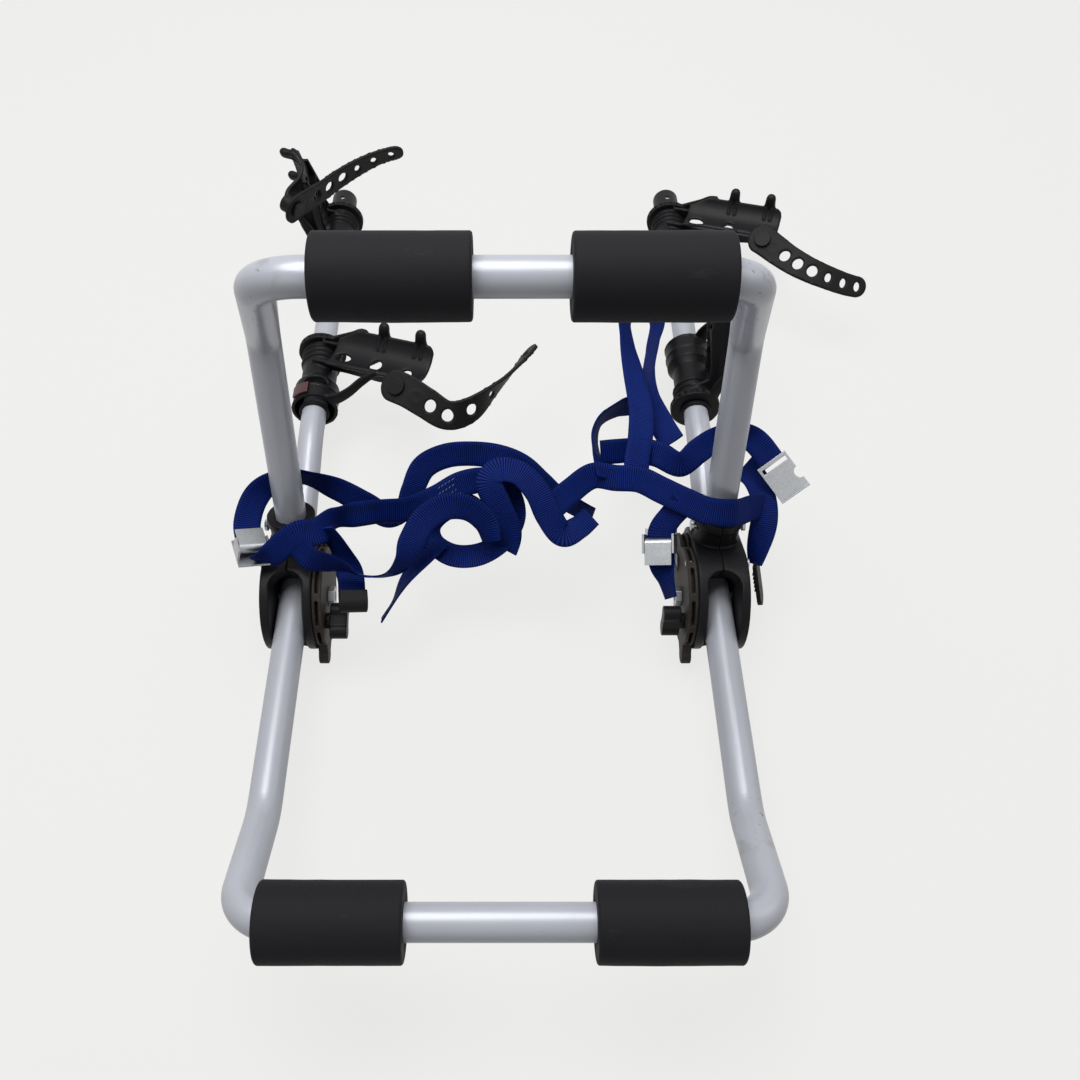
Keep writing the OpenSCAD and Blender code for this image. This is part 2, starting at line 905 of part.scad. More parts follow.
module at_cradle(i) {
    c = cradle_sets[i];
    at_arm(c[0], c[1])
        rotate([0, -c[2], 0])
            rotate([c[4], 0, 0])
                children();
}

module cradle_left_near() at_cradle(0) cradle(cradle_sets[0][3]);
module cradle_left_far() at_cradle(1) cradle(cradle_sets[1][3]);
module cradle_right_near() at_cradle(2) cradle(cradle_sets[2][3]);
module cradle_right_far() at_cradle(3) cradle(cradle_sets[3][3]);

// A tab that sits round the hood's side
tab_l = 14;
tab_t = 3;
tab_arc = 44;
tab_at = 118;
module lock_tab(i) {
    color("#4a1a1e")
        at_cradle(i)
            rotate([0, -tab_at, 0])
                rotate([-90, 0, 0])
                    rotate(-tab_arc / 2)
                        rotate_extrude(angle = tab_arc)
                            translate([hood_d / 2 + seat_gap, -barrel_l / 2 + tab_t])
                                square([tab_t, tab_l]);
}

module lock_tab_left_near() lock_tab(0);
module lock_tab_left_far() lock_tab(1);
module lock_tab_right_near() lock_tab(2);
module lock_tab_right_far() lock_tab(3);

// Flat strips: each row of a route is a place on the strip's middle line and the way its width points

function route_row(r, i) =
    i < 0 ? 2 * r[0] - r[1] :
    i > len(r) - 1 ? 2 * r[len(r) - 1] - r[len(r) - 2] :
    r[i];
function blend(a, b, c, d, u) =
    b + (c - a) * u / 2 + (a - 2.5 * b + 2 * c - d / 2) * u * u + (1.5 * (b - c) + (d - a) / 2) * u * u * u;
function smooth(r, steps) = concat(
    [for (i = [0 : len(r) - 2], j = [0 : steps - 1])
        blend(route_row(r, i - 1), r[i], r[i + 1], route_row(r, i + 2), j / steps)],
    [r[len(r) - 1]]
);
function place(row) = [row[0], row[1], row[2]];
function width_way(row) = [row[3], row[4], row[5]];
function tangent(s, k) = unit(place(s[min(k + 1, len(s) - 1)]) - place(s[max(k - 1, 0)]));
function across(s, k) = let(t = tangent(s, k), w = width_way(s[k])) unit(w - t * (t * w));
function strip_normal(s, k) = cross(tangent(s, k), across(s, k));

// A strip of the given widths and thickness, as one closed solid of triangles
module strip(s, widths, t) {
    last = len(s) - 1;
    points = [
        for (k = [0 : last])
            let(w = across(s, k) * widths[k] / 2, n = strip_normal(s, k) * t / 2, p = place(s[k]))
                each [p + w + n, p - w + n, p - w - n, p + w - n]
    ];
    sides = [
        for (k = [0 : last - 1], a = [0 : 3])
            let(b = (a + 1) % 4, i = 4 * k, j = 4 * k + 4)
                each [[i + a, j + a, j + b], [i + a, j + b, i + b]]
    ];
    ends = [[0, 1, 2], [0, 2, 3], [4 * last, 4 * last + 2, 4 * last + 1], [4 * last, 4 * last + 3, 4 * last + 2]];
    polyhedron(points = points, faces = concat(sides, ends), convexity = 10);
}

// Ladder straps, each in its boss's frame: X along the trough, Z out of the boss

ladder_steps = 4;
ladder_seat = boss_l + run_gap + ladder_t / 2;
rivet_head_d = 18;
rivet_head_h = 3;
ladder_first_hole = 0.3;
ladder_last_hole = 0.94;
// How much of its width a strap keeps at its two ends
ladder_end = 0.6;
ladder_routes = [
    [
        [-16, 3, 0, 0.2, 1, 0], [0, 0, 0, 0.2, 1, 0], [14, -3, 0, 0.2, 1, 0], [32, -9, -4, 0.1, 1, 0.1],
        [56, -16, -10, -0.1, 0.9, 0.3], [76, -4, -19, -0.1, 0.8, 0.6], [92, 24, -33, 0.4, 0.7, 0.6],
        [104, 52, -46, 0.6, 0.6, 0.5], [113, 78, -58, 0.7, 0.5, 0.5]
    ],
    [
        [6, 15, 0, 0.9, -0.4, 0], [0, 0, 0, 0.9, -0.4, 0], [-6, -14, 0, 0.9, -0.4, 0],
        [-16, -38, 1, 0.9, -0.4, 0], [-22, -64, 4, 1, -0.3, 0], [-24, -90, 12, 1, -0.1, 0],
        [-22, -114, 26, 1, 0.1, 0], [-18, -134, 46, 1, 0.1, 0]
    ],
    [
        [14, -7, 0, 0.5, 0.9, 0], [0, 0, 0, 0.5, 0.9, 0], [-13, 7, 0, 0.5, 0.9, 0],
        [-34, 19, 0, 0.5, 0.9, 0], [-58, 31, 0, 0.4, 0.9, 0], [-82, 40, 0, 0.3, 1, 0],
        [-106, 46, 0, 0.2, 1, 0], [-128, 49, 0, 0.1, 1, 0]
    ],
    [
        [-15, 5, 0, 0.3, 0.9, 0], [0, 0, 0, 0.3, 0.9, 0], [14, -7, 0, 0.3, 0.9, 0],
        [34, -17, 2, 0.3, 0.9, 0], [56, -25, 3, 0.2, 0.9, 0], [80, -30, 0, 0.1, 1, 0],
        [102, -32, -7, 0, 1, 0.1], [122, -31, -14, 0, 1, 0.1]
    ]
];

function ladder_width(u) =
    (ladder_root_w + (ladder_tip_w - ladder_root_w) * u) * (u == 0 || u == 1 ? ladder_end : 1);

module ladder_strap(i) {
    s = smooth(ladder_routes[i], ladder_steps);
    last = len(s) - 1;
    color("#19191b")
        at_cradle(i)
            at_boss(cradle_sets[i][3])
                difference() {
                    translate([0, 0, ladder_seat])
                        strip(s, [for (k = [0 : last]) ladder_width(k / last)], ladder_t);
                    cylinder(h = 2 * ladder_seat, d = rivet_d + 2 * run_gap);
                    for (h = [0 : ladder_holes - 1]) {
                        u = ladder_first_hole + (ladder_last_hole - ladder_first_hole) * h / (ladder_holes - 1);
                        k = round(u * last);
                        p = place(s[k]) + [0, 0, ladder_seat];
                        n = strip_normal(s, k);
                        rod(p - n * ladder_t, p + n * ladder_t, ladder_hole_d);
                    }
                }
}

module rivet(i) {
    color("#19191b")
        at_cradle(i)
            at_boss(cradle_sets[i][3]) {
                translate([0, 0, -boss_l / 2])
                    cylinder(h = 1.5 * boss_l + 2 * run_gap + ladder_t, d = rivet_d);
                translate([0, 0, boss_l + 2 * run_gap + ladder_t])
                    cylinder(h = rivet_head_h, d = rivet_head_d);
            }
}

module ladder_strap_left_near() ladder_strap(0);
module ladder_strap_left_far() ladder_strap(1);
module ladder_strap_right_near() ladder_strap(2);
module ladder_strap_right_far() ladder_strap(3);
module rivet_left_near() rivet(0);
module rivet_left_far() rivet(1);
module rivet_right_near() rivet(2);
module rivet_right_far() rivet(3);

// Tie-down webbing: unbroken lengths, wound round the legs and bunched between the hubs

web_steps = 4;
left_loop_route = [
    [-233, 20, 110, -0.8, -0.3, 0.3], [-237, 40, 115, -0.9, -0.3, 0.3], [-231, 63, 122, -0.8, 0.1, 0.6],
    [-217, 78, 124, -0.3, 0.2, 0.9], [-191, 93, 112, 0, -0.1, 1], [-162, 90, 98, 0.3, 0.4, 0.8],
    [-134, 79, 88, 0.4, 0.5, 0.7], [-112, 71, 78, 0.1, 0.5, 0.9], [-97, 81, 77, -0.6, 0.1, 0.8],
    [-90, 97, 84, -0.8, 0, 0.6], [-79, 116, 96, -0.7, 0.4, 0.6], [-57, 124, 104, -0.2, 0.6, 0.8],
    [-30, 125, 106, 0, 0.6, 0.8], [-5, 122, 104, 0.2, 0.7, 0.7], [16, 116, 98, 0.5, 0.5, 0.7],
    [34, 105, 88, 0.6, 0.3, 0.8], [52, 93, 80, 0.4, 0.1, 0.9], [71, 83, 74, 0.3, 0.1, 1],
    [86, 77, 72, 0.2, -0.1, 1]
];
left_front_route = [
    [-225, 0, 115, -0.8, -0.3, 0.3], [-212, 3, 118, -0.8, 0, 0.6], [-198, 14, 123, -0.5, 0.5, 0.7],
    [-186, 21, 126, -0.3, 0.7, 0.6], [-170, 28, 120, -0.5, 0.7, 0.6], [-158, 47, 112, -0.3, 0.1, 1],
    [-139, 54, 108, -0.1, 0.6, 0.8], [-115, 59, 106, -0.1, 0.5, 0.9], [-91, 64, 102, -0.2, 0.5, 0.8],
    [-65, 76, 102, -0.4, 0.7, 0.6], [-41, 88, 108, -0.3, 0.7, 0.6], [-16, 91, 110, 0.2, 0.6, 0.8],
    [3, 82, 104, 0.7, 0.2, 0.7], [10, 62, 92, 0.8, -0.4, 0.5], [-1, 43, 80, 0.6, -0.8, 0.3],
    [-24, 32, 72, 0.2, -1, 0], [-49, 32, 70, -0.2, -1, 0], [-68, 45, 72, -0.6, -0.7, 0.3],
    [-72, 62, 78, -0.8, 0, 0.6], [-57, 75, 86, -0.4, 0.5, 0.7], [-36, 78, 86, 0.3, 0.6, 0.8],
    [-20, 67, 78, 0.6, 0.3, 0.8]
];
left_sag_route = [
    [-186, 11, 124, 0.6, 0.2, 0.7], [-175, 0, 119, 0.5, 0.4, 0.8], [-161, -1, 113, 0.2, 0.2, 1],
    [-146, -1, 104, 0.1, -0.2, 1], [-129, -5, 96, 0, -0.5, 0.9], [-109, -4, 96, 0, -0.4, 0.9],
    [-94, 7, 100, -0.5, -0.1, 0.9], [-85, 26, 108, -0.9, 0.3, 0.4], [-74, 43, 116, -0.7, 0.6, 0.4],
    [-55, 53, 122, -0.3, 0.7, 0.6], [-34, 53, 120, 0.3, 0.6, 0.8], [-18, 43, 112, 0.7, 0.2, 0.7],
    [-12, 29, 100, 0.6, -0.2, 0.7]
];
left_hook_route = [
    [-165, 32, 119, 0.5, -0.1, 0.8], [-154, 24, 102, 0.6, -0.1, 0.8], [-147, 14, 88, 0.9, -0.1, 0.3],
    [-143, 1, 80, 1, 0, -0.2], [-141, -14, 80, 1, 0, -0.2]
];
tail_route = [
    [-64, 46, 74, 0.6, -0.8, 0.1], [-76, 28, 76, 0.6, -0.7, 0.3], [-93, 4, 72, 0.4, -0.7, 0.7],
    [-104, -15, 64, 0.1, -0.6, 0.8], [-115, -29, 54, 0.1, -0.6, 0.8]
];
knot_route = [
    [81, 53, 106, 0.5, -0.8, 0.2], [68, 44, 100, 0.4, -0.9, 0], [53, 38, 100, -0.4, -0.9, -0.3],
    [40, 51, 112, -0.8, -0.5, -0.2], [30, 68, 124, -0.8, -0.6, -0.1], [14, 83, 132, -0.5, -0.9, -0.1],
    [-5, 86, 134, 0.2, -1, -0.2], [-15, 75, 130, 1, -0.1, 0.1], [-6, 58, 116, 0.9, 0.3, 0.3],
    [3, 43, 98, 1, 0.1, 0.2], [1, 33, 78, 0.8, -0.4, 0.5]
];
link_route = [
    [43, 57, 114, -0.6, 0.6, 0.5], [61, 78, 110, -0.6, 0.6, 0.6], [83, 96, 110, -0.3, 0.7, 0.6],
    [105, 93, 111, 0.1, 0.8, 0.6], [127, 89, 114, 0.3, 0.7, 0.6], [146, 73, 120, 0.5, 0.6, 0.6],
    [164, 56, 128, 0.5, 0.6, 0.6], [183, 40, 136, 0.3, 0.8, 0.6], [207, 39, 134, -0.1, 0.7, 0.7],
    [226, 54, 118, -0.2, 0.6, 0.8], [242, 66, 104, -0.1, 0.5, 0.9]
];
right_loop_route = [
    [124, 96, 113, -1, 0, 0.2], [126, 113, 117, -1, 0, 0.2], [130, 134, 119, -1, 0.1, 0.2],
    [134, 174, 112, -1, 0, 0.1], [132, 231, 98, -0.9, -0.3, 0.4], [130, 287, 84, -0.6, -0.4, 0.7],
    [132, 330, 74, -0.5, -0.3, 0.8], [152, 368, 66, 0, 0.2, 1], [168, 340, 60, 0.5, -0.4, 0.8],
    [160, 297, 66, 0.3, -0.6, 0.8], [151, 251, 74, 0.3, -0.5, 0.8], [149, 210, 82, 0.6, -0.3, 0.7],
    [157, 173, 90, 0.9, 0.1, 0.4], [165, 146, 96, 0.9, 0.1, 0.5]
];
ring_route = [
    [96, 93, 111, -0.6, -0.6, 0.6], [89, 122, 108, -0.3, -0.5, 0.8], [88, 146, 106, -0.3, -0.5, 0.9],
    [96, 170, 102, -0.2, -0.4, 0.9], [114, 190, 94, -0.2, -0.2, 1], [130, 203, 84, -0.2, 0.1, 1]
];
over_route = [
    [92, 124, 109, -0.1, 0.6, 0.8], [107, 125, 110, -0.1, 0.6, 0.8], [126, 126, 110, 0.1, 0.6, 0.8],
    [147, 119, 113, 0.3, 0.7, 0.6], [166, 104, 118, 0, 0.6, 0.8], [183, 115, 124, -0.6, 0.6, 0.6],
    [201, 127, 128, -0.4, 0.4, 0.8], [221, 134, 130, 0.1, 0.1, 1], [239, 124, 126, 0.6, 0.4, 0.6],
    [254, 104, 119, 0.8, 0.4, 0.5]
];
drape_route = [
    [233, 120, 92, 0.7, 0.1, 0.7], [242, 102, 95, 0.9, 0.2, 0.2], [246, 78, 97, 1, 0, 0],
    [244, 55, 96, 1, -0.2, 0.1], [239, 35, 82, 0.7, -0.5, 0.5], [236, 21, 72, 0.3, -0.5, 0.8]
];
right_inner_route = [
    [163, 55, 126, 0.7, -0.7, 0], [155, 51, 112, 0.7, -0.6, 0.3], [146, 42, 99, 0.9, -0.3, 0.3],
    [145, 29, 92, 0.9, -0.2, 0.3], [146, 16, 85, 0.9, -0.2, 0.3], [150, 0, 79, 0.5, -0.4, 0.8],
    [154, -15, 72, 0.3, -0.5, 0.8]
];

module webbing(route) {
    s = smooth(route, web_steps);
    color("#1c3a9a")
        strip(s, [for (k = [0 : len(s) - 1]) web_w], web_t);
}

module webbing_left_loop() webbing(left_loop_route);
module webbing_left_front() webbing(left_front_route);
module webbing_left_sag() webbing(left_sag_route);
module webbing_left_hook() webbing(left_hook_route);
module webbing_tail() webbing(tail_route);
module webbing_knot() webbing(knot_route);
module webbing_link() webbing(link_route);
module webbing_right_loop() webbing(right_loop_route);
module webbing_ring() webbing(ring_route);
module webbing_over() webbing(over_route);
module webbing_drape() webbing(drape_route);
module webbing_right_inner() webbing(right_inner_route);

// The least gap of each winding length to itself, measured between its edges and middle line
function rail(s, k) = [for (w = [-0.5, 0, 0.5]) place(s[k]) + across(s, k) * web_w * w];
function run_length(s, i, j) =
    i >= j ? 0 : norm(place(s[i + 1]) - place(s[i])) + run_length(s, i + 1, j);
function least_gap(route) =
    let(
        s = smooth(route, web_steps),
        far = 2 * web_w,
        at = [for (k = [0 : len(s) - 1]) run_length(s, 0, k)]
    )
    min([
        for (i = [0 : len(s) - 1], j = [i : len(s) - 1])
            if (at[j] - at[i] > far)
                each [for (a = rail(s, i), b = rail(s, j)) norm(a - b) - web_t]
    ]);
echo(left_loop_gap = least_gap(left_loop_route), left_front_gap = least_gap(left_front_route));
echo(left_sag_gap = least_gap(left_sag_route), knot_gap = least_gap(knot_route));
echo(right_loop_gap = least_gap(right_loop_route), ring_gap = least_gap(ring_route));

// Puts children on a strap: X across it, Y along it, Z out of its face
module at_strap(p, along, wide) {
    v = unit(along);
    u = unit(wide - v * (wide * v));
    multmatrix(frame(u, v, cross(u, v), p))
        children();
}

// Cam buckles
buckle_spots = [
    [[-230, 12, 112], [7, -18, 4], [-0.8, -0.3, 0.3]],
    [[145, 29, 92], [0, 26, 14], [0.9, -0.2, 0.3]]
];
ear_gap = 0.5;
cam_gap = 0.6;
pin_y = 2;
pin_z = web_t / 2 + cam_gap + cam_d / 2;
ear_x = web_w / 2 + ear_gap;
base_z = -web_t / 2 - run_gap;

module at_buckle(i) {
    at_strap(buckle_spots[i][0], buckle_spots[i][1], buckle_spots[i][2])
        children();
}

module buckle_frame(i) {
    ear_l = cam_d + 2 * pin_d;
    color("#b9bcc2")
        at_buckle(i) {
            translate([-ear_x - sheet_t, -buckle_l / 2, base_z - sheet_t])
                cube([2 * (ear_x + sheet_t), buckle_l, sheet_t]);
            for (x = [-ear_x - sheet_t, ear_x])
                translate([x, pin_y - ear_l / 2, base_z - sheet_t])
                    cube([sheet_t, ear_l, pin_z + cam_d / 2 - base_z + sheet_t]);
            rod([-ear_x - sheet_t, pin_y, pin_z], [ear_x + sheet_t, pin_y, pin_z], pin_d);
        }
}

module buckle_lever(i) {
    half = web_w / 2;
    color("#c9ccd2")
        at_buckle(i)
            difference() {
                union() {
                    rod([-half, pin_y, pin_z], [half, pin_y, pin_z], cam_d);
                    translate([-half, pin_y - lever_l, pin_z + cam_d / 2 - sheet_t])
                        cube([web_w, lever_l, sheet_t]);
                }
                rod([-web_w, pin_y, pin_z], [web_w, pin_y, pin_z], pin_d + 2 * bolt_gap);
            }
}

module buckle_frame_left() buckle_frame(0);
module buckle_frame_right() buckle_frame(1);
module buckle_lever_left() buckle_lever(0);
module buckle_lever_right() buckle_lever(1);

// A zinc plate hook at the end of the outer right length, with a slot for the webbing and a notched side
hook_slot = 4;
hook_rim = 3;
notch_d = 11;
hook_lip = 8;
module plate_hook() {
    half = web_w / 2 + hook_rim;
    color("#b9bcc2")
        at_strap([254, 104, 119], [15, -19, -9], [0.8, 0.4, 0.5])
            difference() {
                union() {
                    translate([-half, -hook_slot, -sheet_t / 2])
                        cube([2 * half, plate_hook_l, sheet_t]);
                    translate([-half, plate_hook_l - hook_slot - sheet_t, sheet_t / 2 - hook_lip])
                        cube([2 * half, sheet_t, hook_lip]);
                }
                translate([-web_w / 2 - ear_gap, 0, -hook_lip])
                    cube([web_w + 2 * ear_gap, hook_slot, 2 * hook_lip]);
                translate([half, plate_hook_l / 2, -hook_lip])
                    cylinder(h = 2 * hook_lip, d = notch_d);
            }
}

// A coated hook: a flat shank that curls back on itself
coated_shank = 14;
coated_bend = 5;
coated_lip = 9;
module coated_hook() {
    reach = coated_bend + coated_t;
    color("#1a1a1c")
        at_strap([-141, -14, 80], [2, -15, 0], [-1, 0, 0.2])
            along_x(-web_w / 2, web_w / 2) {
                translate([0, -coated_t / 2])
                    square([coated_shank, coated_t]);
                translate([coated_shank, coated_t / 2 + coated_bend])
                    difference() {
                        circle(reach);
                        circle(coated_bend);
                        translate([-2 * reach, -2 * reach])
                            square([2 * reach, 4 * reach]);
                    }
                translate([coated_shank - coated_lip, coated_t / 2 + 2 * coated_bend])
                    square([coated_lip, coated_t]);
            }
}

// A ribbed tongue on the end of the draped length
tongue_w = 20;
tongue_t = 4;
tongue_ribs = 5;
tongue_rib = 1.2;
module strap_tongue() {
    rib_pitch = (tongue_l - tongue_w) / tongue_ribs;
    color("#1a1a1c")
        at_strap([237, 20, 71], [7, -17, -27], [0.3, 0.8, -0.5]) {
            translate([0, 0, -tongue_t / 2])
                linear_extrude(tongue_t) {
                    translate([-tongue_w / 2, -tongue_t])
                        square([tongue_w, tongue_l - tongue_w / 2 + tongue_t]);
                    translate([0, tongue_l - tongue_w / 2])
                        circle(d = tongue_w);
                }
            for (i = [1 : tongue_ribs])
                translate([-tongue_w / 2 + tongue_rib, i * rib_pitch, 0])
                    cube([tongue_w - 2 * tongue_rib, tongue_rib, tongue_t / 2 + tongue_rib]);
        }
}

upper_hoop();
lower_hoop();
top_pad_left();
top_pad_right();
bottom_pad_left();
bottom_pad_right();
hub_outer_shell_left();
hub_outer_shell_right();
hub_inner_shell_left();
hub_inner_shell_right();
lock_plate_left();
lock_plate_right();
pivot_bolts();
pivot_nuts();
leg_bolts();
shell_screws();
knob_left();
knob_right();
arm_tube_left();
arm_tube_right();
arm_cap_left();
arm_cap_right();
stop_rings_left();
stop_rings_right();
cradle_left_near();
cradle_left_far();
cradle_right_near();
cradle_right_far();
lock_tab_left_near();
lock_tab_left_far();
lock_tab_right_near();
lock_tab_right_far();
ladder_strap_left_near();
ladder_strap_left_far();
ladder_strap_right_near();
ladder_strap_right_far();
rivet_left_near();
rivet_left_far();
rivet_right_near();
rivet_right_far();
webbing_left_loop();
webbing_left_front();
webbing_left_sag();
webbing_left_hook();
webbing_tail();
webbing_knot();
webbing_link();
webbing_right_loop();
webbing_ring();
webbing_over();
webbing_drape();
webbing_right_inner();
buckle_frame_left();
buckle_frame_right();
buckle_lever_left();
buckle_lever_right();
plate_hook();
coated_hook();
strap_tongue();
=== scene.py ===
import json
import math
from bisect import bisect_right

import bmesh
import bpy
from mathutils import Matrix, Vector, noise
from mathutils.geometry import delaunay_2d_cdt
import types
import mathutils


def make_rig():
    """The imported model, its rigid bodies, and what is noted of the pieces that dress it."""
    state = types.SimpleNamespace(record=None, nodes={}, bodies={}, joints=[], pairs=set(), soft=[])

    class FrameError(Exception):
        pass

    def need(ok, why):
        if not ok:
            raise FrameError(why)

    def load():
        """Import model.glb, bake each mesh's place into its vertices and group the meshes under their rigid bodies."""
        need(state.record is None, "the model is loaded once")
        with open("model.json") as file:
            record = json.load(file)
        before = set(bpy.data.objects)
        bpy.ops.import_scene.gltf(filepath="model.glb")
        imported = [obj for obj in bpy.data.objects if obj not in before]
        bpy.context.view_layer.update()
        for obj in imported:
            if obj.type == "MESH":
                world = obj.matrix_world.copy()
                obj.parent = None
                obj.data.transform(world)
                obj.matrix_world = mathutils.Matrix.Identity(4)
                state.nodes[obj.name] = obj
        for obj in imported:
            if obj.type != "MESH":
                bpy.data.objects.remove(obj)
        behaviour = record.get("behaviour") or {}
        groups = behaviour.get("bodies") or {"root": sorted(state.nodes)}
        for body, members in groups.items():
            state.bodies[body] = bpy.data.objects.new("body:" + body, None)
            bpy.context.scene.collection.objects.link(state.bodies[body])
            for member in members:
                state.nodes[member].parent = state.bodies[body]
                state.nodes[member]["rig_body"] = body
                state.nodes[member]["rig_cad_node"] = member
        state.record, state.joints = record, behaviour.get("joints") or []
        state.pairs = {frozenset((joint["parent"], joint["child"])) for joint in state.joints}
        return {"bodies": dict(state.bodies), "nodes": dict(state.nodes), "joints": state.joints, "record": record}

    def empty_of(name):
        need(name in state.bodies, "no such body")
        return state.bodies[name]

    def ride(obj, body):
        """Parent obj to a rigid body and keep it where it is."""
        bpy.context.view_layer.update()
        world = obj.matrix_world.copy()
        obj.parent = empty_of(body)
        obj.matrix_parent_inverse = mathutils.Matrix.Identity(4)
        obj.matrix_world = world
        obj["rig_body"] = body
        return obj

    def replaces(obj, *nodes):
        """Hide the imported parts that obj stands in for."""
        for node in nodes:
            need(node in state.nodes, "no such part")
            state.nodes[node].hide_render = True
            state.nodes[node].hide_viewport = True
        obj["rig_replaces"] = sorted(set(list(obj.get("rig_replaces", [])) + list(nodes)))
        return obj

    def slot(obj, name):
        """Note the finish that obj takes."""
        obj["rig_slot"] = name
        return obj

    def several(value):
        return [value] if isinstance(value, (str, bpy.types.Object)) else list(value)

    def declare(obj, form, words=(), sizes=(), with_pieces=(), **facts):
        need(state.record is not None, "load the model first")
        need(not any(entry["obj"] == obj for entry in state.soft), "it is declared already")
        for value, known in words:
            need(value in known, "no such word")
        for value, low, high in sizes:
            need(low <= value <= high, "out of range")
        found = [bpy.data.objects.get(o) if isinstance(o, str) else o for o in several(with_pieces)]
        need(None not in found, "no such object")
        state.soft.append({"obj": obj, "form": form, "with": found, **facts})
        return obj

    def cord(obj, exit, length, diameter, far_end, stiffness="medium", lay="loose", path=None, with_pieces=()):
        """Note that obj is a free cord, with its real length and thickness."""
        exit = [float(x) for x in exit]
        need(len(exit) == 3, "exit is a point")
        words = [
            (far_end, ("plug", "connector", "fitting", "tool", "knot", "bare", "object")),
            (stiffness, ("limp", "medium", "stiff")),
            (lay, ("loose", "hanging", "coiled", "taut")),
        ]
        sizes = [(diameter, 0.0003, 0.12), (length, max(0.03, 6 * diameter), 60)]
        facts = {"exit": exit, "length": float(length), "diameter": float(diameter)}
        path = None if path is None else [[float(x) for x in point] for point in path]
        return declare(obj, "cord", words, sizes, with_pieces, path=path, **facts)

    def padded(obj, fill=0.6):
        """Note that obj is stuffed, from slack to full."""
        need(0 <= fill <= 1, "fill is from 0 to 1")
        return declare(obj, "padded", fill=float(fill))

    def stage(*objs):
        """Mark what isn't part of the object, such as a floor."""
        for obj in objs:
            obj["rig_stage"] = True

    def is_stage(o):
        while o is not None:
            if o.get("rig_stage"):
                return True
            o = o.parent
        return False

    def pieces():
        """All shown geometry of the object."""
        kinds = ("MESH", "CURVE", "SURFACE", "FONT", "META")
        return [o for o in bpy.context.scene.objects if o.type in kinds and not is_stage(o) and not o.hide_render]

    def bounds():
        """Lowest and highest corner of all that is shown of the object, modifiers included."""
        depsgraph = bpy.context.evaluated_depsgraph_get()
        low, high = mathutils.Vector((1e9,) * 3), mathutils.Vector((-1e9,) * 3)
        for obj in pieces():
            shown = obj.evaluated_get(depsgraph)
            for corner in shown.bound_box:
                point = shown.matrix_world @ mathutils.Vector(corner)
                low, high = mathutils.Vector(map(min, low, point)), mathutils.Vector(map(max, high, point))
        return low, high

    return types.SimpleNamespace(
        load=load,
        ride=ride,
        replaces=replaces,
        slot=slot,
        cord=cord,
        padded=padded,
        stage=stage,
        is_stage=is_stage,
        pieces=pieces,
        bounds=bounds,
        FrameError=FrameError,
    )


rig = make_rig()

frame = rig.load()
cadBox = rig.bounds()
parts = frame["nodes"]
print("rack frame loaded:", len(parts), "CAD parts")


# several of a piece's settings at once
def pick(settings, names):
    return [settings[name] for name in names.split()]


def addObject(name, data):
    made = bpy.data.objects.new(name, data)
    bpy.context.scene.collection.objects.link(made)
    return made


# camera, at the photograph's place
shot = {
    "eye": (0.0, -0.4897, 0.9546), "look": (0.0, 0.520, -0.8536),
    "lens": 36.0, "sensor": 36.0, "shiftX": 0.0324,
}
camData = bpy.data.cameras.new("rackCamera")
camData.lens, camData.sensor_width, camData.shift_x = pick(shot, "lens sensor shiftX")
camera = addObject("rackCamera", camData)
camera.location = shot["eye"]
camera.rotation_euler = Vector(shot["look"]).to_track_quat("-Z", "Y").to_euler()
bpy.context.scene.camera = camera


# a shader socket that can be used in sums
class Sock:
    def __init__(self, tree, out=None):
        self.tree, self.out = tree, out

    def node(self, kind, settings=None, sockets=None, out=0):
        made = self.tree.nodes.new("ShaderNode" + kind)
        for key, value in (settings or {}).items():
            setattr(made, key, value)
        for key, value in (sockets or {}).items():
            if isinstance(value, Sock):
                self.tree.links.new(value.out, made.inputs[key])
            else:
                made.inputs[key].default_value = value
        return Sock(self.tree, made.outputs[out])

    def calc(self, operation, first, second=0.0):
        return self.node("Math", {"operation": operation}, {0: first, 1: second})

    def __add__(self, other):
        return self.calc("ADD", self, other)

    def __radd__(self, other):
        return self.calc("ADD", other, self)

    def __sub__(self, other):
        return self.calc("SUBTRACT", self, other)

    def __rsub__(self, other):
        return self.calc("SUBTRACT", other, self)

    def __mul__(self, other):
        return self.calc("MULTIPLY", self, other)

    def __rmul__(self, other):
        return self.calc("MULTIPLY", other, self)

    def __truediv__(self, other):
        return self.calc("DIVIDE", self, other)

    def __rtruediv__(self, other):
        return self.calc("DIVIDE", other, self)

    def __abs__(self):
        return self.calc("ABSOLUTE", self)

    def wave(self):  # a wave between 0 and 1, by this phase
        return self.calc("COSINE", self) * 0.5 + 0.5

    def least(self, other):
        return self.calc("MINIMUM", self, other)

    def most(self, other):
        return self.calc("MAXIMUM", self, other)

    def step(self, low, high):  # 0 below low, 1 above high, smooth between
        span = {"Value": self, "From Min": low, "From Max": high}
        return self.node("MapRange", {"interpolation_type": "SMOOTHSTEP"}, span)

    def tint(self, dark, light):  # a colour between two, by this value; 6, 7 and 2 are the colour sockets
        ends = {k: (*c, 1.0) if isinstance(c, tuple) else c for k, c in ((6, dark), (7, light))}
        return self.node("Mix", {"data_type": "RGBA"}, {0: self, **ends}, 2)

    def grain(self, place, scale, detail=3, rough=0.5):
        look = {"Vector": place, "Scale": scale, "Detail": detail, "Roughness": rough}
        return self.node("TexNoise", None, look)

    def cells(self, place, scale):
        return self.node("TexVoronoi", None, {"Vector": place, "Scale": scale})

    def along(self, place, factors):  # the place, stretched along the axes
        return self.node("VectorMath", {"operation": "MULTIPLY"}, {0: place, 1: factors})

    def bump(self, height, strength, distance):
        return self.node("Bump", None, {"Height": height, "Strength": strength, "Distance": distance})


def firstNode(tree, kind):
    return next(n for n in tree.nodes if n.type == kind)


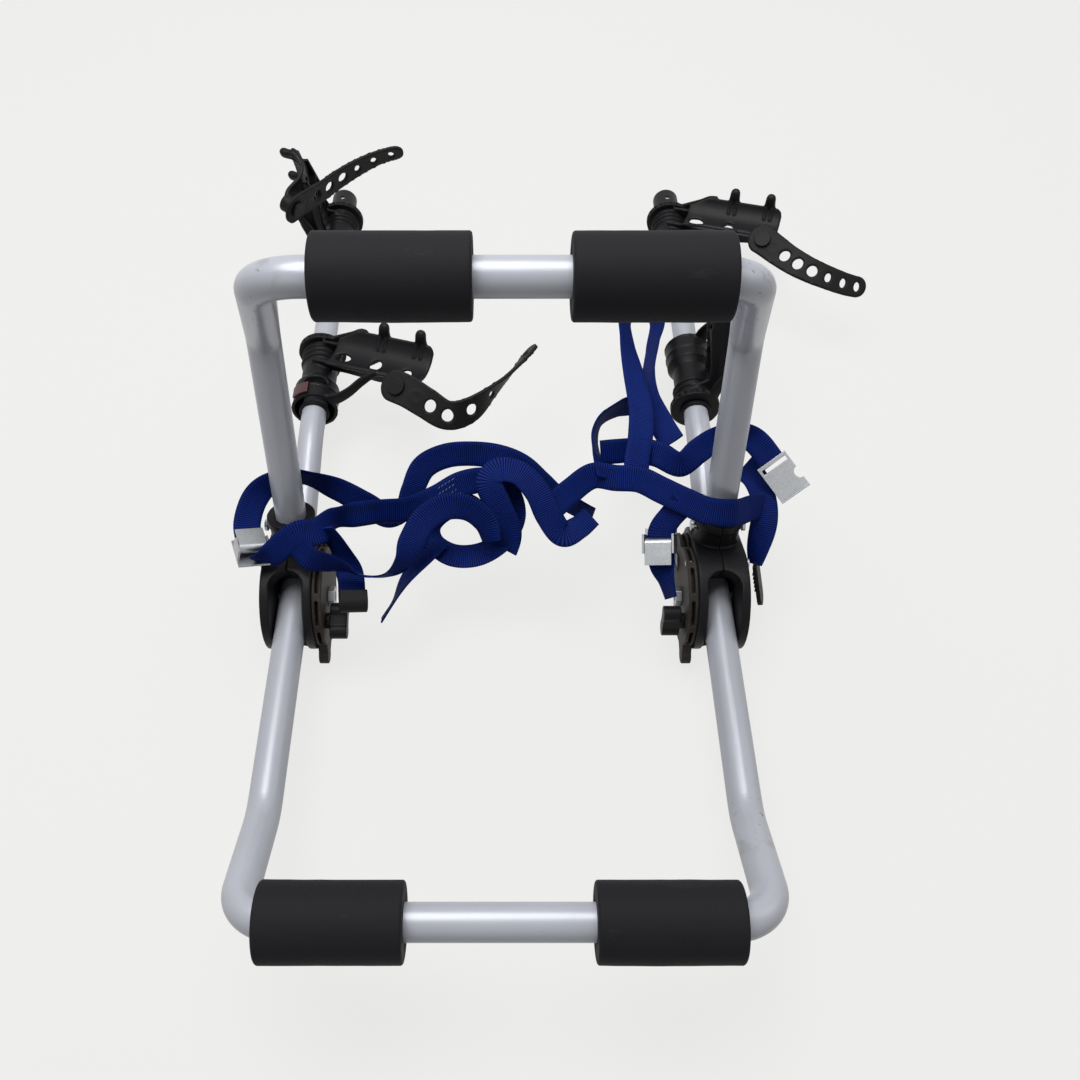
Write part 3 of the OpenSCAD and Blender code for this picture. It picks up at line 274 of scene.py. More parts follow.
def newFinish(name, fixed, make):
    mat = bpy.data.materials.new(name)
    mat.use_nodes = True
    tree = mat.node_tree
    shader = firstNode(tree, "BSDF_PRINCIPLED")
    for key, value in fixed.items():
        shader.inputs[key].default_value = value
    root = Sock(tree)
    for key, value in make(root, root.node("TexCoord", out="Object")).items():
        tree.links.new(value.out, shader.inputs[key])
    return mat


# a level, and shares of some values added to it
def mixed(shares, *values):
    return sum((value * share for value, share in zip(values, shares[1:])), shares[0])


# silver paint, scuffed at the top corners and at one lower kink
silver = {
    "cloud": 11, "colours": ((0.375, 0.39, 0.435), (0.45, 0.465, 0.515)), "flake": (2600, 1),
    "topX": (0.13, 0.168), "topZ": (0.30, 0.40),
    "kinkX": (0.15, 0.19), "kinkFrom": (0.19, 0.225), "kinkTo": 0.27, "kinkFade": (0.0, 0.03),
    "specks": (150, 4, 0.6), "speckEdges": (0.62, 0.70), "speckShare": 0.8,
    "smears": (38, 5, 0.65), "smearEdges": (0.56, 0.68), "smearShare": 0.5, "smearStretch": (1.0, 1.0, 0.35),
    "wear": (0.03, 0.8), "wornColour": (0.15, 0.12, 0.10),
    "rough": (0.30, 0.10, 0.35), "metal": (0.16, -0.12), "cloudBump": 0.4, "bump": (0.10, 0.0003),
}


def silverCoat(root, place):
    x, y, z = (root.node("SeparateXYZ", None, {0: place}, k) for k in range(3))
    cloud = root.grain(place, silver["cloud"])
    flake = root.grain(place, *silver["flake"])
    atTop = abs(x).step(*silver["topX"]) * z.step(*silver["topZ"])
    atKink = x.step(*silver["kinkX"]) * (-1 * y).step(*silver["kinkFrom"])
    atKink = atKink * (y + silver["kinkTo"]).step(*silver["kinkFade"])
    specks = root.grain(place, *silver["specks"]).step(*silver["speckEdges"])
    stretched = root.along(place, silver["smearStretch"])
    smears = root.grain(stretched, *silver["smears"]).step(*silver["smearEdges"])
    patches = (specks * silver["speckShare"]).most(smears * silver["smearShare"])
    worn = patches * mixed(silver["wear"], atTop.most(atKink))
    return {
        "Base Color": worn.tint(cloud.tint(*silver["colours"]), silver["wornColour"]),
        "Roughness": mixed(silver["rough"], cloud, worn),
        "Metallic": mixed(silver["metal"], worn),
        "Normal": root.bump(flake + cloud * silver["cloudBump"], *silver["bump"]),
    }


zinc = {
    "cloud": 50, "spangle": 420, "mottle": (0.0, 0.6, 0.4),
    "colours": ((0.33, 0.34, 0.355), (0.46, 0.475, 0.49)), "brush": 160, "stretch": (1.0, 14.0, 14.0),
    "rough": (0.24, 0.14, 0.08), "bump": (0.05, 0.0003),
}


def zincPlate(root, place):
    cloud = root.grain(place, zinc["cloud"])
    spangle = root.cells(place, zinc["spangle"])
    brush = root.grain(root.along(place, zinc["stretch"]), zinc["brush"])
    return {
        "Base Color": mixed(zinc["mottle"], spangle, cloud).tint(*zinc["colours"]),
        "Roughness": mixed(zinc["rough"], cloud, brush),
        "Normal": root.bump(brush, *zinc["bump"]),
    }


# plain surfaces: a cloudy base, and on some of them dust or rubs in patches, a fine grit and pores
plainLooks = {
    "closedFoam": {
        "cloud": 16, "colours": ((0.0098, 0.0098, 0.0118), (0.0148, 0.0148, 0.0172)),
        "rough": (0.62, 0.16, -0.1), "grit": (420, 3), "bump": (0.35, 0.0004),
        "pores": 1500, "poreShare": 0.5, "dust": (46, 5, 0.7), "edges": (0.60, 0.74),
        "stretch": (0.4, 1.0, 1.0), "dustColour": (0.032, 0.032, 0.035), "share": 0.35,
    },
    "mouldedBlack": {
        "cloud": 24, "colours": ((0.0052, 0.0052, 0.0062), (0.0084, 0.0084, 0.0096)),
        "rough": (0.36, 0.14, 0.14), "grit": (1900, 2), "bump": (0.16, 0.0003),
        "dust": (60, 5, 0.7), "edges": (0.55, 0.78), "dustColour": (0.03, 0.03, 0.03), "share": 0.16,
    },
    "plateBrown": {
        "cloud": 30, "colours": ((0.020, 0.0165, 0.014), (0.034, 0.028, 0.023)),
        "rough": (0.48, 0.16), "grit": (1500, 2), "bump": (0.2, 0.0003),
        "dust": (75, 5, 0.7), "edges": (0.5, 0.75), "dustColour": (0.075, 0.062, 0.05), "share": 0.5,
    },
    "softRubber": {
        "cloud": 40, "colours": ((0.0062, 0.0062, 0.0068), (0.0102, 0.0102, 0.011)),
        "rough": (0.46, 0.12, 0.1), "grit": (900, 3), "bump": (0.14, 0.0003),
        "dust": (90, 4, 0.7), "edges": (0.5, 0.8), "dustColour": (0.03, 0.03, 0.031), "share": 0.2,
    },
    "maroonTab": {
        "cloud": 60, "colours": ((0.038, 0.008, 0.011), (0.062, 0.013, 0.017)),
        "rough": (0.34, 0.14), "grit": (1700, 2), "bump": (0.12, 0.0003),
    },
    "blackOxide": {
        "cloud": 90, "colours": ((0.035, 0.035, 0.038), (0.075, 0.075, 0.08)), "rough": (0.32, 0.2),
    },
    "stitchThread": {
        "cloud": 300, "colours": ((0.07, 0.09, 0.19), (0.17, 0.20, 0.33)), "rough": (0.5, 0.2),
    },
}


def plainSurface(lookName):
    look = plainLooks[lookName]

    def make(root, place):
        cloud = root.grain(place, look["cloud"])
        made = {"Base Color": cloud.tint(*look["colours"]), "Roughness": mixed(look["rough"], cloud)}
        if "dust" in look:
            spot = root.along(place, look.get("stretch", (1.0, 1.0, 1.0)))
            dust = root.grain(spot, *look["dust"]).step(*look["edges"])
            made["Base Color"] = (dust * look["share"]).tint(made["Base Color"], look["dustColour"])
            made["Roughness"] = mixed(look["rough"], cloud, dust)
        if "grit" in look:
            relief = root.grain(place, *look["grit"])
            if "pores" in look:
                relief = root.cells(place, look["pores"]) * look["poreShare"] + relief
            made["Normal"] = root.bump(relief, *look["bump"])
        return made

    return make


# webbing weave, with painted shade in the valleys between the ribs and painted light on their crests: the strap's mesh
# carries its own across and along distances
weave = {
    "rib": 0.0019, "yarn": 0.0015, "half": 0.0125, "edge": (0.86, 0.98), "edgeLight": (1.0, -0.3),
    "cloud": (45, 4, 0.6), "cloudLight": (0.75, 0.5), "yarnLight": (0.5, 0.4), "valleyShade": 0.06,
    "colours": ((0.0003, 0.0012, 0.014), (0.0075, 0.029, 0.235)), "rough": (0.66, -0.14, 0.1),
    "relief": (0.0, 0.6, 0.4), "bump": (0.55, 0.0004),
}


def ribbedBlue(root, place):
    spot = root.node("Attribute", {"attribute_name": "weave"}, None, "Vector")
    across, run = (root.node("SeparateXYZ", None, {0: spot}, k) for k in range(2))
    rib = (run * (2 * math.pi / weave["rib"])).wave()
    yarn = (across * (2 * math.pi / weave["yarn"]) + run * (math.pi / weave["rib"])).wave()
    edge = abs(across).step(*(weave["half"] * e for e in weave["edge"]))
    cloud = root.grain(place, *weave["cloud"])
    # painted shade and light: the colour is dark in the valleys between the ribs, lighter on the rib crests and darker
    # towards the strap's edges, varied by the yarn and cloud patterns
    lit = weave["valleyShade"] + rib * mixed(weave["yarnLight"], yarn)
    lit = lit * mixed(weave["cloudLight"], cloud) * mixed(weave["edgeLight"], edge)
    return {
        "Base Color": lit.tint(*weave["colours"]),
        "Roughness": mixed(weave["rough"], rib, cloud),
        "Normal": root.bump(mixed(weave["relief"], rib, yarn), *weave["bump"]),
    }


silverFixed = {"Specular IOR Level": 0.35, "Coat Weight": 0.12, "Coat Roughness": 0.2}
finishes = {
    "silver_paint": newFinish("silverCoat", silverFixed, silverCoat),
    "zinc": newFinish("zincPlate", {"Metallic": 1.0}, zincPlate),
    "blue_webbing": newFinish("ribbedBlue", {"Specular IOR Level": 0.06}, ribbedBlue),
    "dark_steel": newFinish("blackOxide", {"Metallic": 0.8}, plainSurface("blackOxide")),
}
# a look, its specular level, and a name where a look serves twice
mouldings = {
    "black_foam": ("closedFoam", 0.1), "black_plastic": ("mouldedBlack", 0.12),
    "arm_cap_plastic": ("mouldedBlack", 0.2, "capBlack"), "lock_plate_plastic": ("plateBrown", 0.15),
    "black_rubber": ("softRubber", 0.12), "red_plastic": ("maroonTab", 0.5),
}
for slotName, (lookName, specular, *ownName) in mouldings.items():
    finishName = ownName[0] if ownName else lookName
    finishes[slotName] = newFinish(finishName, {"Specular IOR Level": specular}, plainSurface(lookName))
threadFinish = newFinish("stitchThread", {"Specular IOR Level": 0.4}, plainSurface("stitchThread"))
print("finishes mixed:", len(finishes) + 1)


def newPiece(name, points, faces, slot, body, finish=None):
    mesh = bpy.data.meshes.new(name)
    mesh.from_pydata([tuple(p) for p in points], [], faces)
    mesh.validate()
    mesh.shade_smooth()
    outward = bmesh.new()
    outward.from_mesh(mesh)
    bmesh.ops.recalc_face_normals(outward, faces=outward.faces)
    outward.to_mesh(mesh)
    outward.free()
    mesh.materials.append(finish or finishes[slot])
    piece = addObject(name, mesh)
    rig.ride(piece, body)
    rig.slot(piece, slot)
    return piece


def addModifier(piece, kind, **settings):
    made = piece.modifiers.new(kind.lower(), kind)
    for key, value in settings.items():
        setattr(made, key, value)


# quads between rings of points, and from the last ring to the first if closed
def ringFaces(rings, sides, closed=False):
    faces = []
    for r in range(rings if closed else rings - 1):
        s = (r + 1) % rings
        for k in range(sides):
            j = (k + 1) % sides
            faces.append((r * sides + k, r * sides + j, s * sides + j, s * sides + k))
    return faces


# several closed forms as one list of points and one of faces
def joinForms(forms):
    points, faces = [], []
    for formPoints, formFaces in forms:
        faces += [tuple(len(points) + i for i in f) for f in formFaces]
        points += formPoints
    return points, faces


# routes are written in millimetres, with the way of the width in tenths
def inMetres(rows):
    return [tuple(v / 1000 for v in r[:3]) + tuple(v / 10 for v in r[3:]) for r in rows]


# a row of a route, also one before its start or past its end
def rowAt(rows, i):
    if 0 <= i < len(rows):
        return rows[i]
    end, inner = (rows[0], rows[1]) if i < 0 else (rows[-1], rows[-2])
    return [2 * a - b for a, b in zip(end, inner)]


def blendRows(rows, at):
    i = min(int(at), len(rows) - 2)
    u = at - i
    quads = zip(*(rowAt(rows, i + k) for k in (-1, 0, 1, 2)))
    return [
        b + (c - a) * u / 2 + (a - 2.5 * b + 2 * c - d / 2) * u * u + (1.5 * (b - c) + (d - a) / 2) * u ** 3
        for a, b, c, d in quads
    ]


# a line through a route's rows, each a place and the way the strap's width points
class StrapLine:
    def __init__(self, rows, fine=40, nudge=0.02):
        self.rows, self.nudge = rows, nudge
        self.marks = [k / fine for k in range((len(rows) - 1) * fine + 1)]
        self.points = [Vector(blendRows(rows, m)[:3]) for m in self.marks]
        self.runs = [0.0]
        for a, b in zip(self.points, self.points[1:]):
            self.runs.append(self.runs[-1] + (b - a).length)
        self.length = self.runs[-1]

    def markAt(self, run):
        low = min(max(bisect_right(self.runs, run) - 1, 0), len(self.runs) - 2)
        share = (run - self.runs[low]) / max(1e-9, self.runs[low + 1] - self.runs[low])
        return self.marks[low] + share * (self.marks[low + 1] - self.marks[low])

    def runAt(self, mark):
        return self.runs[min(len(self.runs) - 1, round(mark * (len(self.runs) - 1) / self.marks[-1]))]

    def frameAt(self, run):
        mark = self.markAt(min(max(run, 0.0), self.length))
        row = blendRows(self.rows, mark)
        marks = (min(max(mark + d, 0.0), self.marks[-1]) for d in (-self.nudge, self.nudge))
        before, after = (Vector(blendRows(self.rows, m)[:3]) for m in marks)
        way = (after - before).normalized()
        wide = Vector(row[3:])
        wide = (wide - way * wide.dot(way)).normalized()
        return Vector(row[:3]), way, wide, way.cross(wide)


# a closed bar along rows of place, width's way and two half sizes, with a rounded box for its section
def sweepForm(rows, sides=14, stepsPerRow=6, boxy=0.6):
    line = StrapLine([tuple(r[:6]) for r in rows])
    steps = stepsPerRow * (len(rows) - 1)
    points = []
    for k in range(steps + 1):
        at, way, wide, out = line.frameAt(line.length * k / steps)
        mark = line.markAt(line.length * k / steps)
        i = min(int(mark), len(rows) - 2)
        halfW, halfT = (rows[i][c] + (rows[i + 1][c] - rows[i][c]) * (mark - i) for c in (6, 7))
        for s in range(sides):
            a = 2 * math.pi * s / sides
            c, n = (math.copysign(abs(v) ** boxy, v) for v in (math.cos(a), math.sin(a)))
            points.append(at + wide * halfW * c + out * halfT * n)
    caps = [tuple(range(sides)), tuple(range(steps * sides, (steps + 1) * sides))]
    return points, ringFaces(steps + 1, sides) + caps


# tie-down webbing, with the same routes as the CAD lengths
routes = {
    "left_loop": [
        (-233, 20, 110, -8, -3, 3), (-237, 40, 115, -9, -3, 3), (-231, 63, 122, -8, 1, 6),
        (-217, 78, 124, -3, 2, 9), (-191, 93, 112, 0, -1, 10), (-162, 90, 98, 3, 4, 8),
        (-134, 79, 88, 4, 5, 7), (-112, 71, 78, 1, 5, 9), (-97, 81, 77, -6, 1, 8), (-90, 97, 84, -8, 0, 6),
        (-79, 116, 96, -7, 4, 6), (-57, 124, 104, -2, 6, 8), (-30, 125, 106, 0, 6, 8),
        (-5, 122, 104, 2, 7, 7), (16, 116, 98, 5, 5, 7), (34, 105, 88, 6, 3, 8), (52, 93, 80, 4, 1, 9),
        (71, 83, 74, 3, 1, 10), (86, 77, 72, 2, -1, 10),
    ],
    "left_front": [
        (-225, 0, 115, -8, -3, 3), (-212, 3, 118, -8, 0, 6), (-198, 14, 123, -5, 5, 7),
        (-186, 21, 126, -3, 7, 6), (-170, 28, 120, -5, 7, 6), (-158, 47, 112, -3, 1, 10),
        (-139, 54, 108, -1, 6, 8), (-115, 59, 106, -1, 5, 9), (-91, 64, 102, -2, 5, 8),
        (-65, 76, 102, -4, 7, 6), (-41, 88, 108, -3, 7, 6), (-16, 91, 110, 2, 6, 8), (3, 82, 104, 7, 2, 7),
        (10, 62, 92, 8, -4, 5), (-1, 43, 80, 6, -8, 3), (-24, 32, 72, 2, -10, 0),
        (-49, 32, 70, -2, -10, 0), (-68, 45, 72, -6, -7, 3), (-72, 62, 78, -8, 0, 6),
        (-57, 75, 86, -4, 5, 7), (-36, 78, 86, 3, 6, 8), (-20, 67, 78, 6, 3, 8),
    ],
    "left_sag": [
        (-186, 11, 124, 6, 2, 7), (-175, 0, 119, 5, 4, 8), (-161, -1, 113, 2, 2, 10),
        (-146, -1, 104, 1, -2, 10), (-129, -5, 96, 0, -5, 9), (-109, -4, 96, 0, -4, 9),
        (-94, 7, 100, -5, -1, 9), (-85, 26, 108, -9, 3, 4), (-74, 43, 116, -7, 6, 4),
        (-55, 53, 122, -3, 7, 6), (-34, 53, 120, 3, 6, 8), (-18, 43, 112, 7, 2, 7),
        (-12, 29, 100, 6, -2, 7),
    ],
    "left_hook": [
        (-165, 32, 119, 5, -1, 8), (-154, 24, 102, 6, -1, 8), (-147, 14, 88, 9, -1, 3),
        (-143, 1, 80, 10, 0, -2), (-141, -14, 80, 10, 0, -2),
    ],
    "tail": [
        (-64, 46, 74, 6, -8, 1), (-76, 28, 76, 6, -7, 3), (-93, 4, 72, 4, -7, 7),
        (-104, -15, 64, 1, -6, 8), (-115, -29, 54, 1, -6, 8),
    ],
    "knot": [
        (81, 53, 106, 5, -8, 2), (68, 44, 100, 4, -9, 0), (53, 38, 100, -4, -9, -3),
        (40, 51, 112, -8, -5, -2), (30, 68, 124, -8, -6, -1), (14, 83, 132, -5, -9, -1),
        (-5, 86, 134, 2, -10, -2), (-15, 75, 130, 10, -1, 1), (-6, 58, 116, 9, 3, 3),
        (3, 43, 98, 10, 1, 2), (1, 33, 78, 8, -4, 5),
    ],
    "link": [
        (43, 57, 114, -6, 6, 5), (61, 78, 110, -6, 6, 6), (83, 96, 110, -3, 7, 6), (105, 93, 111, 1, 8, 6),
        (127, 89, 114, 3, 7, 6), (146, 73, 120, 5, 6, 6), (164, 56, 128, 5, 6, 6), (183, 40, 136, 3, 8, 6),
        (207, 39, 134, -1, 7, 7), (226, 54, 118, -2, 6, 8), (242, 66, 104, -1, 5, 9),
    ],
    "right_loop": [
        (124, 96, 113, -10, 0, 2), (126, 113, 117, -10, 0, 2), (130, 134, 119, -10, 1, 2),
        (134, 174, 112, -10, 0, 1), (132, 231, 98, -9, -3, 4), (130, 287, 84, -6, -4, 7),
        (132, 330, 74, -5, -3, 8), (152, 368, 66, 0, 2, 10), (168, 340, 60, 5, -4, 8),
        (160, 297, 66, 3, -6, 8), (151, 251, 74, 3, -5, 8), (149, 210, 82, 6, -3, 7),
        (157, 173, 90, 9, 1, 4), (165, 146, 96, 9, 1, 5),
    ],
    "ring": [
        (96, 93, 111, -6, -6, 6), (89, 122, 108, -3, -5, 8), (88, 146, 106, -3, -5, 9),
        (96, 170, 102, -2, -4, 9), (114, 190, 94, -2, -2, 10), (130, 203, 84, -2, 1, 10),
    ],
    "over": [
        (92, 124, 109, -1, 6, 8), (107, 125, 110, -1, 6, 8), (126, 126, 110, 1, 6, 8),
        (147, 119, 113, 3, 7, 6), (166, 104, 118, 0, 6, 8), (183, 115, 124, -6, 6, 6),
        (201, 127, 128, -4, 4, 8), (221, 134, 130, 1, 1, 10), (239, 124, 126, 6, 4, 6),
        (254, 104, 119, 8, 4, 5),
    ],
    "drape": [
        (233, 120, 92, 7, 1, 7), (242, 102, 95, 9, 2, 2), (246, 78, 97, 10, 0, 0),
        (244, 55, 96, 10, -2, 1), (239, 35, 82, 7, -5, 5), (236, 21, 72, 3, -5, 8),
    ],
    "right_inner": [
        (163, 55, 126, 7, -7, 0), (155, 51, 112, 7, -6, 3), (146, 42, 99, 9, -3, 3),
        (145, 29, 92, 9, -2, 3), (146, 16, 85, 9, -2, 3), (150, 0, 79, 5, -4, 8), (154, -15, 72, 3, -5, 8),
    ],
}
strap = {
    "half": weave["half"], "thick": 0.0009, "rib": weave["rib"], "ribDepth": 0.00008, "stepsPerRib": 4,
    "cup": 0.0006, "cupRest": 0.4, "spots": (-0.94, -0.62, -0.3, 0.0, 0.3, 0.62, 0.94),
    "edgeFrom": 0.9, "edgeThick": 0.82, "edgeRib": 0.4,
}


# how far a strap's middle surface is cupped
def cupAt(across):
    return strap["cup"] * ((across / strap["half"]) ** 2 - strap["cupRest"])


def strapProfile(bulge):
    half, face = strap["half"], []
    for s in strap["spots"]:
        thick, rib = (strap["edgeThick"], strap["edgeRib"]) if abs(s) > strap["edgeFrom"] else (1.0, 1.0)
        face.append((half * s, strap["thick"] * thick + bulge * rib))
    top = [(a, b + cupAt(a)) for a, b in face]
    under = [(a, -b + cupAt(a)) for a, b in reversed(face)]
    return top + [(half, cupAt(half))] + under + [(-half, cupAt(half))]


def makeStrap(name):
    line = StrapLine(inMetres(routes[name]))
    step = strap["rib"] / strap["stepsPerRib"]
    count = int(line.length / step)
    points, marks = [], []
    ring = len(strapProfile(0.0))
    for k in range(count + 1):
        run = line.length * k / count
        at, way, wide, out = line.frameAt(run)
        bulge = strap["ribDepth"] * math.cos(2 * math.pi * run / strap["rib"])
        for a, b in strapProfile(bulge):
            points.append(at + wide * a + out * b)
            marks.append((a, run, 0.0))
    caps = [tuple(range(ring)), tuple(reversed(range(count * ring, (count + 1) * ring)))]
    faces = ringFaces(count + 1, ring) + caps
    piece = newPiece("webbing." + name, points, faces, "blue_webbing", "upper_frame")
    kept = piece.data.attributes.new("weave", "FLOAT_VECTOR", "POINT")
    kept.data.foreach_set("vector", [c for m in marks for c in m])
    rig.replaces(piece, "webbing_" + name)
    return piece, line


straps = {name: makeStrap(name) for name in routes}

# thread where a strap is sewn through: short stitches in slanted rows on both faces
stitching = {
    "strap": "left_front", "marks": (9.4, 20.4), "rows": (-0.0075, -0.0025, 0.0025, 0.0075), "count": 5,
    "long": 0.0026, "pitch": 0.0037, "slant": 0.45, "half": 0.00036, "flat": 0.7, "proud": 0.4,
    "sunk": 0.0003, "sides": 8,
}


def makeStitches():
    line = straps[stitching["strap"]][1]
    count, slant, half, long, sunk = pick(stitching, "count slant half long sunk")
    forms = []

    def stitchRow(run, across, side, lift):
        at, way, wide, out = line.frameAt(run)
        spot = at + wide * across + out * (cupAt(across) + side * (strap["thick"] + lift))
        return (*spot, *wide, half, half * stitching["flat"])

    for mark in stitching["marks"]:
        for row in stitching["rows"]:
            for k in range(count):
                middle = line.runAt(mark) + (k - (count - 1) / 2) * stitching["pitch"] + abs(row) * slant
                for side in (1, -1):
                    rows = []
                    for e in (-long / 2, 0.0, long / 2):
                        lift = -sunk if e else half * stitching["proud"]
                        rows.append(stitchRow(middle + e, row + e * slant, side, lift))
                    forms.append(sweepForm(rows, stitching["sides"]))
    name = "stitches." + stitching["strap"]
    return newPiece(name, *joinForms(forms), "blue_webbing", "upper_frame", threadFinish)


stitches = makeStitches()
# the short sewn ends go with the length that they are sewn to
sewnEnds = {
    "left_front": (["left_hook", "tail"], ["buckle_frame_left", "buckle_lever_left", "coated_hook"]),
    "link": (["right_inner", "drape"], ["buckle_frame_right", "buckle_lever_right", "strap_tongue"]),
    "over": (["ring"], ["plate_hook"]),
}
for name, (piece, line) in straps.items():
    if any(name in ends for ends, _ in sewnEnds.values()):
        continue
    ends, metal = sewnEnds.get(name, ([], []))
    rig.cord(
        piece, exit=line.points[0], length=line.length, diameter=2 * strap["half"], far_end="object",
        stiffness="limp", path=line.points,
        with_pieces=[straps[e][0] for e in ends] + [parts[m] for m in metal]
        + ([stitches] if name == stitching["strap"] else []),
    )
print("webbing laid:", ", ".join(f"{n} {s[1].length:.3f} m" for n, s in straps.items()))

# the rack's own sizes, as the CAD has them
rack = {
    "hubX": 0.2, "pivotZ": 0.048, "legFoot": (0.033, 0.044),
    "upperSlope": 70, "upperLeg": 0.25, "upperBend": 49, "upperKick": 0.175,
    "topHalf": 0.168, "topCornerR": 0.038,
    "lowerSlope": 6.4, "lowerLeg": 0.221, "lowerBend": 26, "lowerKick": 0.116,
    "bottomHalf": 0.2, "bottomCornerR": 0.034, "armPivot": (0.04, 0.045), "armRoot": 0.14, "armSlope": 6,
}


def sideWay(deg):
    return Vector((0.0, math.cos(math.radians(deg)), math.sin(math.radians(deg))))


upperKink = Vector((rack["hubX"], *rack["legFoot"])) + rack["upperLeg"] * sideWay(rack["upperSlope"])
topCorner = upperKink + rack["upperKick"] * sideWay(rack["upperSlope"] + rack["upperBend"])
topCorner.x = rack["topHalf"]
lowerWay = 180 - rack["lowerSlope"]
lowerKink = Vector((rack["hubX"], 0.0, rack["pivotZ"])) + rack["lowerLeg"] * sideWay(lowerWay)
bottomCorner = lowerKink + rack["lowerKick"] * sideWay(lowerWay - rack["lowerBend"])
bottomCorner.x = rack["bottomHalf"]


# a bar's middle line at a distance across the rack, round the start of its corner bends too
def barAt(corner, leg, bendR, x):
    turn = (leg - corner).normalized()
    barWay = Vector((1.0, 0.0, 0.0))
    straight = corner.x - bendR * math.tan(math.acos(barWay.dot(turn)) / 2)
    side = (turn - barWay * barWay.dot(turn)).normalized()
    over = max(0.0, abs(x) - straight)
    return Vector((x, corner.y, corner.z)) + side * (bendR - math.sqrt(bendR ** 2 - over ** 2))


bars = {
    "top": (topCorner, upperKink, rack["topCornerR"], "upper_frame"),
    "bottom": (bottomCorner, lowerKink, rack["bottomCornerR"], "lower_frame"),
}
# foam sleeves: a little out of round, with soft end edges and a few dents
pads = {
    "outer": 0.030, "bore": 0.01445, "length": 0.107, "edge": 0.0022, "edgeCuts": (0.0, 0.12, 0.4, 0.75, 1.0),
    "rings": 72, "sides": 96, "swell": 0.00035, "swellScale": 22, "sink": 0.5,
    "dentScale": 70, "dentShare": 0.4,
    "places": {
        "top_pad_left": ("top", -0.075, 3.1), "top_pad_right": ("top", 0.098, 7.7),
        "bottom_pad_left": ("bottom", -0.127, 12.4), "bottom_pad_right": ("bottom", 0.12, 19.9),
    },
}


def makePad(name, bar, middle, seed):
    corner, leg, bendR, body = bars[bar]
    up, out = Vector((0, 0, 1)), Vector((0, -1, 0))
    edge, length, sides, outer, bore, rings = pick(pads, "edge length sides outer bore rings")
    runs = [(edge * c, outer - edge + edge * math.sqrt(max(0.0, 1 - (1 - c) ** 2))) for c in pads["edgeCuts"]]
    plain = [edge + (length - 2 * edge) * k / rings for k in range(1, rings)]
    profile = [(0.0, bore)] + runs + [(p, outer) for p in plain]
    profile += [(length - r, radius) for r, radius in reversed(runs)] + [(length, bore)]
    points = []
    for run, radius in profile:
        spotX = middle - length / 2 + run
        inBore = radius == bore
        at = barAt(corner, leg, bendR, spotX) if inBore else Vector((spotX, corner.y, corner.z))
        for k in range(sides):
            a = 2 * math.pi * k / sides
            ray = up * math.cos(a) + out * math.sin(a)
            spot = at + ray * radius
            broad = noise.noise(spot * pads["swellScale"] + Vector((seed, 0, 0)))
            dents = noise.noise(spot * pads["dentScale"] + Vector((0, seed, 0)))
            lift = 0.0 if inBore else broad + pads["dentShare"] * dents - pads["sink"]
            points.append(spot + ray * pads["swell"] * lift)
    faces = ringFaces(len(profile), sides, True)
    piece = newPiece("foam." + name, points, faces, "black_foam", body)
    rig.replaces(piece, name)
    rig.padded(piece, fill=0.9)


for padName, padFacts in pads["places"].items():
    makePad(padName, *padFacts)
print("foam sleeves on:", len(pads["places"]))

# cradles on the arms: side, place along the arm, turn, back to front, boss up or down
armBend = Vector((rack["hubX"], *rack["armPivot"])) + rack["armRoot"] * sideWay(rack["armSlope"])
troughEdge = math.radians(62)  # from a trough's lowest line to its edges
cradles = {
    "footAt": 0.362, "footR": 0.026, "near": 0.084, "far": 0.316, "troughShift": 0.022, "troughYaw": 20,
    "boss": (0.118, -0.030 * math.sin(troughEdge) - 0.014, 0.05 - 0.030 * math.cos(troughEdge)),
    "bossTilt": 35,
    "sets": {
        "left_near": (-1, "near", 4, 0, 1),
        "left_far": (-1, "far", 92, 0, -1),
        "right_near": (1, "near", 90, 180, -1),
        "right_far": (1, "far", 4, 0, 1),
    },
}
footFar = math.hypot(cradles["footAt"], cradles["footR"])
armOut = math.degrees(math.atan2(cradles["footR"], cradles["footAt"]) - math.asin(armBend.z / footFar))


def turned(axis, deg):
    return Matrix.Rotation(math.radians(deg), 4, axis)


def armFrame(sign, along):
    at = armBend + along * sideWay(armOut)
    return Matrix.Translation((sign * at.x, at.y, at.z)) @ turned("X", armOut)


def cradleFrame(name):
    sign, place, roll, flip, _ = cradles["sets"][name]
    return armFrame(sign, cradles[place]) @ turned("Y", -roll) @ turned("X", flip)


# the trough's frame in its cradle, with lengths times a factor
def troughFrame(factor=1.0):
    return Matrix.Translation((0, cradles["troughShift"] * factor, 0)) @ turned("Z", -cradles["troughYaw"])


def bossTurn(name):
    up = cradles["sets"][name][4]
    return turned("X", up * cradles["bossTilt"]) @ turned("X", 0 if up > 0 else 180)


def bossFrame(name):
    return cradleFrame(name) @ troughFrame() @ Matrix.Translation(cradles["boss"]) @ bossTurn(name)


